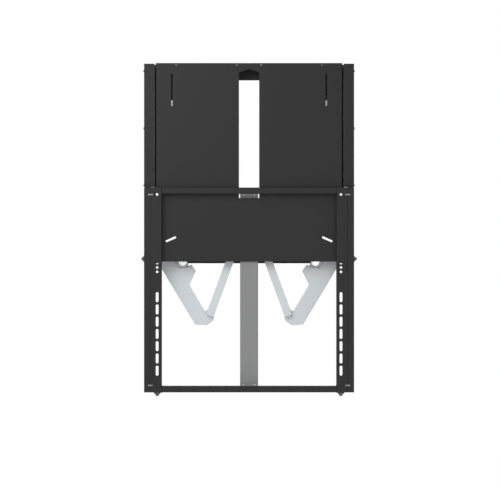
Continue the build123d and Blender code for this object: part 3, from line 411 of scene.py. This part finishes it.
def moulded_material(name, base, roughness, grain_size, depth, soft=0.0):
    """Moulded nylon or rubber."""
    _, tree, shader, place = new_material(name)
    grain = placed(tree, "Powder Grain", Vector=place, Size=grain_size)
    use = placed(tree, "Handling", Vector=place, Dust=0.25)
    edge = placed(tree, "Rounded Edge", Radius=0.0004)
    cloud = ramp(tree, use["Cloud"], 0.3, 0.7)
    tone = mixed(tree, cloud, lighter(base, -0.1), lighter(base, 0.05))
    tone = mixed(tree, use["Dust"], tone, DUST_COLOUR)
    rough = ramp(tree, use["Cloud"], 0.2, 0.8, roughness - 0.06, roughness + 0.06)
    finish_surface(
        tree, shader, tone, rough, edge, grain["Height"], strength=depth, distance=0.0001
    )
    shader.inputs["Subsurface Weight"].default_value = soft
    shader.inputs["Subsurface Scale"].default_value = 0.003


def material_named(name):
    """A finish made by the first operator."""
    return bpy.data.materials[FINISH + name]


# Mesh building

def around(count, radius, height):
    """One ring of points. The radius is a number, or a function of the angle."""
    ring = []
    for step in range(count):
        angle = FULL_TURN * step / count
        reach = radius(angle) if callable(radius) else radius
        ring.append((reach * math.cos(angle), reach * math.sin(angle), height))
    return ring


def skin(rings, closed=False):
    """Faces between neighbouring rings of points, capped at both ends or joined end to end."""
    count = len(rings[0])
    points = [point for ring in rings for point in ring]
    faces = []
    spans = len(rings) if closed else len(rings) - 1
    for row in range(spans):
        here, there = row * count, (row + 1) % len(rings) * count
        for step in range(count):
            after = (step + 1) % count
            faces.append((here + step, here + after, there + after, there + step))
    if not closed:
        faces.append(tuple(reversed(range(count))))
        faces.append(tuple((len(rings) - 1) * count + step for step in range(count)))
    return points, faces


def turned(outline, count=48, closed=False):
    """A piece turned round local Z from an outline of (radius, height)."""
    return skin([around(count, radius, height) for radius, height in outline], closed)


def hexagon(width):
    """Radius of a hexagon of that width across its flats, by angle."""
    def reach(angle):
        return width / 2 / math.cos(angle % (math.pi / 3) - math.pi / 6)

    return reach


def joined(shapes):
    """Several shapes as one set of points and faces."""
    points, faces = [], []
    for more_points, more_faces in shapes:
        first = len(points)
        points += more_points
        faces += [tuple(first + corner for corner in face) for face in more_faces]
    return points, faces


def placed_copies(shape, places):
    """One shape repeated at several places, as one set of points and faces."""
    points, faces = shape
    return joined([([place @ Vector(point) for point in points], faces) for place in places])


def standing(origin, outward, turn=0.0):
    """A place whose local Z points outward from the origin."""
    rotation = Vector((0, 0, 1)).rotation_difference(Vector(outward)).to_matrix().to_4x4()
    return Matrix.Translation(Vector(origin)) @ rotation @ Matrix.Rotation(turn, 4, "Z")


def add_piece(name, shape, material, body, stands_for=(), sharp=32.0):
    """A finished mesh that rides on its body and may stand for CAD nodes."""
    mesh = bpy.data.meshes.new(name)
    mesh.from_pydata([tuple(point) for point in shape[0]], [], shape[1])
    mesh.update()
    mesh.shade_smooth()
    mesh.set_sharp_from_angle(angle=math.radians(sharp))
    mesh.materials.append(material_named(material))
    piece = bpy.data.objects.new(name, mesh)
    bpy.context.scene.collection.objects.link(piece)
    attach(piece, body)
    if stands_for:
        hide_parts(*stands_for)
    return piece


def coat_nodes(material, *names):
    """Gives CAD nodes their finish."""
    for name in names:
        target = nodes[name]
        target.data.materials.clear()
        target.data.materials.append(material_named(material))


def pair(name):
    """The left and the right node of that name."""
    return [f"{name}_{side}" for side in SIDES]


# Operators, one for each piece or group of like pieces

class MOUNT_OT_finishes(bpy.types.Operator):
    """Makes the node groups and the finishes that every piece uses"""

    bl_idname = "mount.finishes"
    bl_label = "Make Finishes"

    def execute(self, context):
        coats, metals = context.scene.mount_coats, context.scene.mount_metals
        powder_grain_group()
        rounded_edge_group()
        handling_group()
        metal_lines_group()
        coat_material(
            "black_coat", coats.black, coats,
            roughness=0.48, speckle=0.25, dust=0.08, lift=0.03, gloss=0.20,
        )
        coat_material(
            "silver_coat", coats.silver, coats,
            roughness=0.42, speckle=0.12, dust=0.05, lift=0.01, gloss=0.30,
        )
        coat_material(
            "grey_coat", coats.grey, coats,
            roughness=0.46, speckle=0.2, dust=0.08, lift=0.02, gloss=0.30,
        )
        metal_material(
            "zinc_plate", metals.zinc, roughness=0.30, depth=0.25, edge_radius=0.0004
        )
        metal_material(
            "turned_steel", metals.zinc, roughness=0.22, depth=0.3, edge_radius=0.0003,
            stretch=(300.0, 6000.0, 6000.0),
        )
        metal_material(
            "dull_zinc", shaded(metals.zinc, 0.55), roughness=0.55, depth=0.2,
            edge_radius=0.0004, contrast=0.15, metallic=0.6,
        )
        metal_material(
            "black_oxide", metals.oxide, roughness=0.36, depth=0.3, edge_radius=0.0004,
            stretch=(700.0, 700.0, 700.0), contrast=0.3, metallic=0.75,
        )
        metal_material(
            "screw_thread", metals.oxide, roughness=0.30, depth=0.15, edge_radius=0.0002,
            contrast=0.3, metallic=0.85,
        )
        metal_material(
            "spring_wire", metals.wire, roughness=0.31, depth=0.35, edge_radius=0.0003,
            stretch=(600.0, 600.0, 3500.0), contrast=0.3, metallic=0.9,
        )
        metal_material(
            "index_metal", shaded(metals.zinc, 0.56), roughness=0.45, depth=0.2,
            edge_radius=0.0004, contrast=0.15, metallic=0.35,
        )
        galvanised_material(metals)
        moulded_material(
            "nylon", metals.nylon, roughness=0.38, grain_size=0.0016, depth=0.12, soft=0.25
        )
        moulded_material("rubber", metals.rubber, roughness=0.72, grain_size=0.0012, depth=0.5)
        return {"FINISHED"}


class MOUNT_OT_wall_unit(bpy.types.Operator):
    """Coats the box on the wall: cover, side covers, beams, uprights, guides and brackets"""

    bl_idname = "mount.wall_unit"
    bl_label = "Coat Wall Unit"

    def execute(self, context):
        coat_nodes("black_coat", "front_cover", "top_beam", "bottom_beam")
        coat_nodes("black_coat", *pair("side_cover"), *pair("upright"))
        coat_nodes("grey_coat", *pair("corner_bracket"), *pair("spring_anchor"))
        coat_nodes("galvanised_sheet", *pair("roller_guide"))
        coat_nodes("turned_steel", "thrust_washers", *pair("arm_pivot_pin"))
        coat_nodes("rubber", "upper_stops", "lower_stops")
        return {"FINISHED"}


class MOUNT_OT_carriage(bpy.types.Operator):
    """Coats the carriage: rails, crossbars, spine, brackets, plates, axles, pins and clips"""

    bl_idname = "mount.carriage"
    bl_label = "Coat Carriage"

    def execute(self, context):
        coat_nodes("black_coat", "top_crossbar", "bottom_crossbar", *pair("rail"))
        coat_nodes("grey_coat", "spine", "link_bracket", *pair("roller_plate"))
        coat_nodes("turned_steel", "roller_axles", "link_pins")
        coat_nodes("dull_zinc", "window_clips")
        return {"FINISHED"}


class MOUNT_OT_linkage(bpy.types.Operator):
    """Coats the arms, the links and what pulls on them"""

    bl_idname = "mount.linkage"
    bl_label = "Coat Linkage"

    def execute(self, context):
        coat_nodes("silver_coat", *pair("outer_arm"), *pair("inner_link"), *pair("spring_lug"))
        coat_nodes("turned_steel", *pair("arm_pins"), *pair("yoke_pin"))
        coat_nodes("zinc_plate", *pair("spring_top_plug"), *pair("pull_rod"))
        coat_nodes("index_metal", *pair("tension_nut"))
        return {"FINISHED"}


class MOUNT_OT_springs(bpy.types.Operator):
    """Winds both tension springs, which shorten as the carriage rises, round their guide rods"""

    bl_idname = "mount.springs"
    bl_label = "Wind Tension Springs"

    hook_x, hook_z = 0.253, 0.075  # upper end of the line of the right spring
    pin_x, pin_z = 0.218, -0.324  # lower end of that line
    depth = 0.044  # from the wall to the line
    start = 0.020  # from the hook to the first turn
    reach = 0.2885  # from the first turn to the last
    short_reach = 0.1730  # the same with the carriage up
    plug_reach = 0.2885  # from the hook to the plug of the pull rod
    steps = 36  # rings of points in one turn
    sides = 14  # points in one ring
    run_out = 3  # rings past each end of the coil

    # Outlines round the line, as (radius, height above the plug). The end ring is wide enough for
    # the rod to lean in it as the nut rises.
    rod_outline = ((0.0025, -0.0010), (0.0030, -0.0004), (0.0030, 0.1112), (0.0022, 0.1120))
    ring_outline = (
        (0.0109, 0.0010),
        (0.0130, 0.0010),
        (0.0135, 0.0016),
        (0.0135, 0.0064),
        (0.0130, 0.0070),
        (0.0109, 0.0070),
    )

    def wound(self, sizes, top, down):
        """Rings of points along the wire of one coil."""
        front = Vector((0, -1, 0))
        across = down.cross(front)
        climb = self.reach / sizes.coil_turns / FULL_TURN
        total = sizes.coil_turns * self.steps
        corners = [FULL_TURN * corner / self.sides for corner in range(self.sides)]
        rings = []
        for step in range(-self.run_out, total + self.run_out + 1):
            within = min(max(step, 0), total)
            angle = FULL_TURN * within / self.steps
            radial = front * math.cos(angle) + across * math.sin(angle)
            onward = across * math.cos(angle) - front * math.sin(angle)
            along = (onward * sizes.coil_radius + down * climb).normalized()
            centre = top + radial * sizes.coil_radius + down * (climb * angle)
            centre += along * ((step - within) * 2 * sizes.wire_radius / self.run_out)
            other = along.cross(radial)
            rings.append([
                centre + (radial * math.cos(turn) + other * math.sin(turn)) * sizes.wire_radius
                for turn in corners
            ])
        return rings

    def execute(self, context):
        sizes = context.scene.mount_hardware
        for side, sign in SIDES.items():
            spring, pull_rod = f"spring_{side}", f"pull_rod_{side}"
            hook = Vector((sign * self.hook_x, -self.depth, self.hook_z))
            pin = Vector((sign * self.pin_x, -self.depth, self.pin_z))
            down = (pin - hook).normalized()
            top = hook + down * self.start
            wire = skin(self.wound(sizes, top, down))
            coil = add_piece(
                f"spring_coil_{side}", wire, "spring_wire", spring, [spring]
            )
            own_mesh(coil)
            plug = [standing(hook + down * self.plug_reach, -down)]
            rod = placed_copies(turned(self.rod_outline), plug)
            add_piece(f"spring_guide_rod_{side}", rod, "turned_steel", pull_rod)
            ring = placed_copies(turned(self.ring_outline, closed=True), plug)
            end_ring = add_piece(f"spring_end_ring_{side}", ring, "nylon", spring)
            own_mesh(end_ring)
        return {"FINISHED"}


class MOUNT_OT_tension_screws(bpy.types.Operator):
    """Cuts the thread and the key socket of both tension screws"""

    bl_idname = "mount.tension_screws"
    bl_label = "Cut Tension Screws"

    points = 36  # in one ring
    rows_per_turn = 10
    radius = 0.005  # of the shaft
    tip = 0.001  # from the lower end to the thread
    neck = 0.006  # plain shaft between thread and head
    head = 0.010  # height of the head

    def threaded(self, sizes, low, head_low):
        """Rings of the thread, from the tip to the neck."""
        rise = sizes.thread_lead / self.rows_per_turn
        rings = []
        for row in range(int((head_low - self.neck - low - self.tip) / rise)):
            height = low + self.tip + row * rise

            def crest(angle, height=height):
                phase = (height / sizes.thread_lead - angle / FULL_TURN) % 1.0
                flank = min(max(abs(phase - 0.5) * 4 - 0.5, 0.0), 1.0)
                return self.radius - sizes.thread_depth * flank

            rings.append(around(self.points, crest, height))
        return rings

    def execute(self, context):
        sizes = context.scene.mount_hardware
        socket = hexagon(sizes.socket_width)
        for side in SIDES:
            low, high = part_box(f"tension_screw_{side}")
            head_low, floor = high.z - self.head, high.z - self.head / 2
            tip = [(0.0034, low.z), (0.0040, low.z + 0.0006)]
            neck_and_head = [
                (self.radius, head_low - 0.0045),
                (self.radius, head_low - 0.0008),
                (self.radius + 0.0006, head_low),
                (0.0084, head_low),
                (0.0090, head_low + 0.0006),
                (0.0090, high.z - 0.0012),
                (0.0087, high.z - 0.0004),
                (0.0079, high.z),
                (sizes.socket_width * 0.60, high.z),
                (socket, high.z - 0.0005),
                (socket, floor),
                (0.0022, floor - 0.0009),
            ]
            rings = [around(self.points, reach, height) for reach, height in tip]
            rings += self.threaded(sizes, low.z, head_low)
            rings += [around(self.points, reach, height) for reach, height in neck_and_head]
            middle = (low + high) / 2
            shape = placed_copies(skin(rings), [Matrix.Translation((middle.x, middle.y, 0))])
            add_piece(
                f"threaded_screw_{side}", shape, "screw_thread", f"tension_screw_{side}",
                [f"tension_screw_{side}"], sharp=40.0,
            )
        return {"FINISHED"}


class MOUNT_OT_rollers(bpy.types.Operator):
    """Makes four rollers: a nylon tyre pressed on a shielded bearing"""

    bl_idname = "mount.rollers"
    bl_label = "Make Rollers"

    # Outlines of one half, as (radius, distance from the middle) in millimetres
    tyre = (
        (11.3, 5.8), (11.8, 6.9), (12.4, 7.0), (14.6, 7.0), (15.7, 6.5), (16.3, 5.7), (16.5, 4.8),
    )
    bearing = (
        (5.05, 6.8), (5.35, 7.0), (6.9, 7.0), (7.1, 6.7), (7.3, 6.1),
        (9.8, 6.3), (10.1, 6.65), (10.4, 6.7), (11.2, 6.7), (11.3, 6.4),
    )

    def execute(self, context):
        parts = (
            ("tyre", self.tyre, "nylon", "nylon"),
            ("bearing", self.bearing, "turned_steel", "zinc_plate"),
        )
        for side in SIDES:
            for place in ("upper", "lower"):
                roller = f"roller_{place}_{side}"
                low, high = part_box(roller)
                spot = [standing((low + high) / 2, (1, 0, 0))]
                for part, half, material, slot in parts:
                    outline = [(radius * MM, height * MM) for radius, height in half]
                    outline += [(radius, -height) for radius, height in reversed(outline)]
                    shape = placed_copies(turned(outline, 64, closed=True), spot)
                    add_piece(
                        f"{roller}_{part}", shape, material, roller, [roller], sharp=38.0
                    )
        return {"FINISHED"}


def button_head(head, socket, shaft):
    """A button-head screw along local Z: its seat is at zero and its shaft runs below.

    Head and shaft are (width, length).
    """
    radius, height = head[0] / 2, head[1]
    shaft_radius, shaft_length = shaft[0] / 2, shaft[1]
    return turned([
        (shaft_radius - 0.0005, -shaft_length),
        (shaft_radius, -shaft_length + 0.0005),
        (shaft_radius, 0.0),
        (radius - 0.0002, 0.0),
        (radius, 0.0003),
        (radius * 0.985, height * 0.30),
        (radius * 0.90, height * 0.62),
        (radius * 0.74, height * 0.86),
        (radius * 0.56, height),
        (socket * 0.62, height),
        (hexagon(socket), height - 0.0002),
        (hexagon(socket), height - height * 0.62),
        (socket * 0.2, height - height * 0.75),
    ])


def add_screws(name, spots, screw, material, body):
    """Sets like screws in place of a CAD node. Each spot is (seat, outward direction)."""
    between = 0.4  # turn of each screw past the one before
    places = [standing(*spot, between * index) for index, spot in enumerate(spots)]
    add_piece(f"{name}_set", placed_copies(screw, places), material, body, [name])


class MOUNT_OT_screws(bpy.types.Operator):
    """Sets the button-head screws of the cover, side covers, roller plates and spine"""

    bl_idname = "mount.screws"
    bl_label = "Set Screws"

    # Heads as (width, height)
    cover_head = (9.5 * MM, 2.5 * MM)
    side_head = (8.0 * MM, 3.5 * MM)
    plate_head = (10.0 * MM, 2.5 * MM)
    spine_head = (10.0 * MM, 3.5 * MM)

    inner_x = 40.0 * MM  # of the inner cover screws
    spine_socket = 4.0 * MM

    def execute(self, context):
        socket = context.scene.mount_hardware.small_socket

        width, height = self.cover_head
        low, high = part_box("cover_screws")
        row = (low.z + high.z) / 2
        outer = high.x - width / 2
        spots = [
            ((x, low.y + height, row), (0, -1, 0))
            for x in (-outer, -self.inner_x, self.inner_x, outer)
        ]
        screw = button_head(self.cover_head, socket, (5.0 * MM, 8.0 * MM))
        add_screws("cover_screws", spots, screw, "black_oxide", "wall_unit")

        width, height = self.side_head
        low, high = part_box("side_cover_screws")
        rows = [low.z + width / 2, (low.z + high.z) / 2, high.z - width / 2]
        depth = (low.y + high.y) / 2
        spots = [
            ((sign * (high.x - height), depth, row), (sign, 0, 0))
            for sign in SIDES.values() for row in rows
        ]
        screw = button_head(self.side_head, socket, (4.0 * MM, 9.0 * MM))
        add_screws("side_cover_screws", spots, screw, "black_oxide", "wall_unit")

        width, height = self.plate_head
        low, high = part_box("plate_screws")
        row = (low.z + high.z) / 2
        spots = [
            ((sign * (high.x - width / 2), low.y + height, row), (0, -1, 0))
            for sign in SIDES.values()
        ]
        screw = button_head(self.plate_head, socket, (5.0 * MM, 8.0 * MM))
        add_screws("plate_screws", spots, screw, "zinc_plate", "carriage")

        width, height = self.spine_head
        low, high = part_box("spine_screws")
        depth = (low.y + high.y) / 2
        reach = high.x - width / 2
        spots = [
            ((x, depth, seat), (0, 0, up))
            for seat, up in ((high.z - height, 1), (low.z + height, -1)) for x in (-reach, reach)
        ]
        screw = button_head(self.spine_head, self.spine_socket, (6.0 * MM, 7.0 * MM))
        add_screws("spine_screws", spots, screw, "zinc_plate", "carriage")
        return {"FINISHED"}


class MOUNT_OT_flange_bolts(bpy.types.Operator):
    """Sets the hexagon flange bolts at the lower corners of the box and under the rails"""

    bl_idname = "mount.flange_bolts"
    bl_label = "Set Flange Bolts"

    height = 0.012  # of a bolt above its seat
    hex_width = 0.0095
    turn = 0.3  # of the hexagons round their bolts

    def bolt(self, flange):
        """A flange bolt along local Z, its seat at zero."""
        hexed = hexagon(self.hex_width)
        return turned([
            (0.0036, -0.010),
            (0.0040, -0.0095),
            (0.0040, 0.0),
            (flange - 0.0004, 0.0),
            (flange, 0.0005),
            (flange, 0.0024),
            (flange - 0.0006, 0.0031),
            (0.0068, 0.0074),
            (0.0060, 0.0078),
            (hexed, 0.0081),
            (hexed, 0.0112),
            (lambda angle: min(hexed(angle), 0.0051), 0.0117),
            (0.0046, self.height),
            (0.0028, self.height - 0.0001),
            (0.0010, self.height - 0.0002),
        ], 72)

    def execute(self, context):
        low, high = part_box("side_flange_bolts")
        side_flange = (high.z - low.z) / 2
        middle = (low + high) / 2
        side_spots = [
            ((sign * (high.x - self.height), middle.y, middle.z), (sign, 0, 0))
            for sign in SIDES.values()
        ]
        low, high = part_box("rail_flange_bolts")
        rail_flange = (high.y - low.y) / 2
        middle = (low + high) / 2
        rail_spots = [
            ((sign * (high.x - rail_flange), middle.y, low.z + self.height), (0, 0, -1))
            for sign in SIDES.values()
        ]
        for name, spots, flange, body in (
            ("side_flange_bolts", side_spots, side_flange, "wall_unit"),
            ("rail_flange_bolts", rail_spots, rail_flange, "carriage"),
        ):
            places = [standing(*spot, self.turn) for spot in spots]
            shape = placed_copies(self.bolt(flange), places)
            add_piece(f"{name}_set", shape, "black_oxide", body, [name], sharp=24.0)
        return {"FINISHED"}


class MOUNT_OT_welds(bpy.types.Operator):
    """Lays the weld beads that join the crossbars to the rails"""

    bl_idname = "mount.welds"
    bl_label = "Lay Weld Beads"

    back_gap = 0.003  # between a bead and the back of its crossbar
    front_gap = 0.0035
    rows = 40  # rings along a bead, past the first
    corners = 12  # points in one ring
    flatness = 0.8  # height of a bead as a share of its width

    def bead(self, start, end, away, reach, shift):
        """One rippled bead, thinner at both ends."""
        run = end - start
        tilt = run.normalized().cross(away)
        turns = [FULL_TURN * corner / self.corners for corner in range(self.corners)]
        rings = []
        for row in range(self.rows + 1):
            at = row / self.rows
            ripple = 1 + 0.10 * math.sin(at * 44) + 0.05 * math.sin(at * 17 + shift)
            taper = min(1.0, 8 * at + 0.25, 8 * (1 - at) + 0.25)
            size = reach * ripple * taper
            rings.append([
                start + run * at
                + (away * math.cos(turn) * self.flatness + tilt * math.sin(turn)) * size
                for turn in turns
            ])
        return skin(rings)

    def execute(self, context):
        reach = context.scene.mount_hardware.weld_width / 2
        for bar in ("top_crossbar", "bottom_crossbar"):
            low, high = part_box(bar)
            back, front = high.y - self.back_gap, low.y + self.front_gap
            beads = []
            for sign in SIDES.values():
                for height, up in ((low.z, -1), (high.z, 1)):
                    start = Vector((sign * high.x, back, height))
                    end = Vector((sign * high.x, front, height))
                    away = Vector((-sign, 0, up)).normalized()
                    beads.append(self.bead(start, end, away, reach, sign))
            add_piece(
                f"{bar}_weld_beads", joined(beads), "black_coat", "carriage",
                sharp=60.0,
            )
        return {"FINISHED"}


def aimed(obj, origin, target):
    """Puts a lamp or camera at the origin, looking at the target."""
    obj.location = origin
    obj.rotation_euler = (Vector(target) - Vector(origin)).to_track_quat("-Z", "Y").to_euler()


def background_rays(tree):
    """One for the rays that show the background to the camera, directly or by reflection."""
    rays = tree.nodes.new("ShaderNodeLightPath")
    seen = maths(tree, "MAXIMUM", rays.outputs["Is Camera Ray"], rays.outputs["Is Glossy Ray"])
    return maths(tree, "MAXIMUM", seen, rays.outputs["Is Transmission Ray"])


class MOUNT_OT_stage(bpy.types.Operator):
    """Sets the floor, the plain surroundings, the lamps and the camera"""

    bl_idname = "mount.stage"
    bl_label = "Set Stage"

    floor_side, floor_back, floor_front = 4.0, 2.0, -4.0
    floor_glow = 0.42  # of the floor towards the camera
    lamp_target = (0, 0, -0.2)
    lamps = {  # place and width of each lamp, whose power is a setting
        "key": ((-0.9, -1.9, 0.7), 1.4),
        "fill": ((0.5, -3.0, -0.9), 1.8),
        "rear": ((1.6, 2.6, 1.1), 2.0),
    }
    sensor_width = 36  # millimetres, as the lens is

    def lay_floor(self, scene, stage):
        """A plain floor that fades into the surroundings."""
        mesh = bpy.data.meshes.new("floor")
        side, drop = self.floor_side, -stage.floor_drop
        corners = [
            (-side, self.floor_front, drop),
            (side, self.floor_front, drop),
            (side, self.floor_back, drop),
            (-side, self.floor_back, drop),
        ]
        mesh.from_pydata(corners, [], [(0, 1, 2, 3)])
        floor = bpy.data.objects.new("floor", mesh)
        scene.collection.objects.link(floor)
        material, tree, shader, _ = new_material("pale_floor")
        shader.inputs["Base Color"].default_value = (*stage.floor, 1)
        shader.inputs["Roughness"].default_value = 0.9
        strength = maths(tree, "MULTIPLY", background_rays(tree), self.floor_glow)
        glow = node(tree, "ShaderNodeEmission", Color=WHITE, Strength=strength)
        both = node(tree, "ShaderNodeAddShader", i0=shader.outputs[0], i1=glow.outputs[0])
        tree.links.new(both.outputs[0], tree.nodes["Material Output"].inputs[0])
        mesh.materials.append(material)

    def set_world(self, scene, stage):
        """Surroundings that are white to the camera and give a softer light."""
        world = bpy.data.worlds.new("studio")
        scene.world = world
        world.use_nodes = True
        tree = world.node_tree
        tree.nodes.clear()
        strength = ramp(tree, background_rays(tree), 0.0, 1.0, stage.ambient, 1.0)
        glow = node(tree, "ShaderNodeBackground", Color=WHITE, Strength=strength)
        output = tree.nodes.new("ShaderNodeOutputWorld")
        tree.links.new(glow.outputs[0], output.inputs[0])

    def hang_lamps(self, scene, stage):
        """The round lamps, aimed at the mount."""
        for name, (spot, size) in self.lamps.items():
            light = bpy.data.lights.new(f"{name}_lamp", "AREA")
            light.shape, light.size, light.energy = "DISK", size, getattr(stage, name)
            lamp = bpy.data.objects.new(f"{name}_lamp", light)
            scene.collection.objects.link(lamp)
            aimed(lamp, spot, self.lamp_target)

    def set_camera(self, scene, stage):
        """The camera, level and square to the wall."""
        camera = bpy.data.objects.new("camera", bpy.data.cameras.new("camera"))
        scene.collection.objects.link(camera)
        camera.data.sensor_width = self.sensor_width
        camera.data.lens = self.sensor_width * stage.camera_distance / stage.view_width
        camera.data.clip_end = 40
        front_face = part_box("front_cover")[0].y
        spot = Vector((stage.camera_x, front_face - stage.camera_distance, -stage.camera_drop))
        aimed(camera, spot, spot + Vector((0, 1, 0)))
        scene.camera = camera

    def execute(self, context):
        scene, stage = context.scene, context.scene.mount_stage
        scene.view_settings.view_transform = "Standard"
        self.lay_floor(scene, stage)
        self.set_world(scene, stage)
        self.hang_lamps(scene, stage)
        self.set_camera(scene, stage)
        return {"FINISHED"}


OPERATORS = (
    MOUNT_OT_finishes,
    MOUNT_OT_wall_unit,
    MOUNT_OT_carriage,
    MOUNT_OT_linkage,
    MOUNT_OT_springs,
    MOUNT_OT_tension_screws,
    MOUNT_OT_rollers,
    MOUNT_OT_screws,
    MOUNT_OT_flange_bolts,
    MOUNT_OT_welds,
    MOUNT_OT_stage,
)
SETTINGS = {
    "mount_coats": CoatSettings,
    "mount_metals": MetalSettings,
    "mount_hardware": HardwareSettings,
    "mount_stage": StageSettings,
}


class MOUNT_PT_panel(bpy.types.Panel):
    """Lists the settings and the operators in the order in which they run"""

    bl_idname = "MOUNT_PT_panel"
    bl_label = "Display Mount"
    bl_space_type = "VIEW_3D"
    bl_region_type = "UI"
    bl_category = "Display Mount"

    def draw(self, context):
        for key in SETTINGS:
            box = self.layout.box()
            group = getattr(context.scene, key)
            for name in group.__annotations__:
                box.prop(group, name)
        for operator in OPERATORS:
            self.layout.operator(operator.bl_idname)


def register():
    """Registers the settings, the operators and the panel."""
    for key, group in SETTINGS.items():
        bpy.utils.register_class(group)
        setattr(bpy.types.Scene, key, bpy.props.PointerProperty(type=group))
    for item in (*OPERATORS, MOUNT_PT_panel):
        bpy.utils.register_class(item)


def unregister():
    """Removes what register added."""
    for item in (MOUNT_PT_panel, *reversed(OPERATORS)):
        bpy.utils.unregister_class(item)
    for key, group in SETTINGS.items():
        delattr(bpy.types.Scene, key)
        bpy.utils.unregister_class(group)


def main():
    """Builds everything in order."""
    register()
    for operator in OPERATORS:
        family, name = operator.bl_idname.split(".")
        getattr(getattr(bpy.ops, family), name)()


if __name__ == "__main__":
    main()
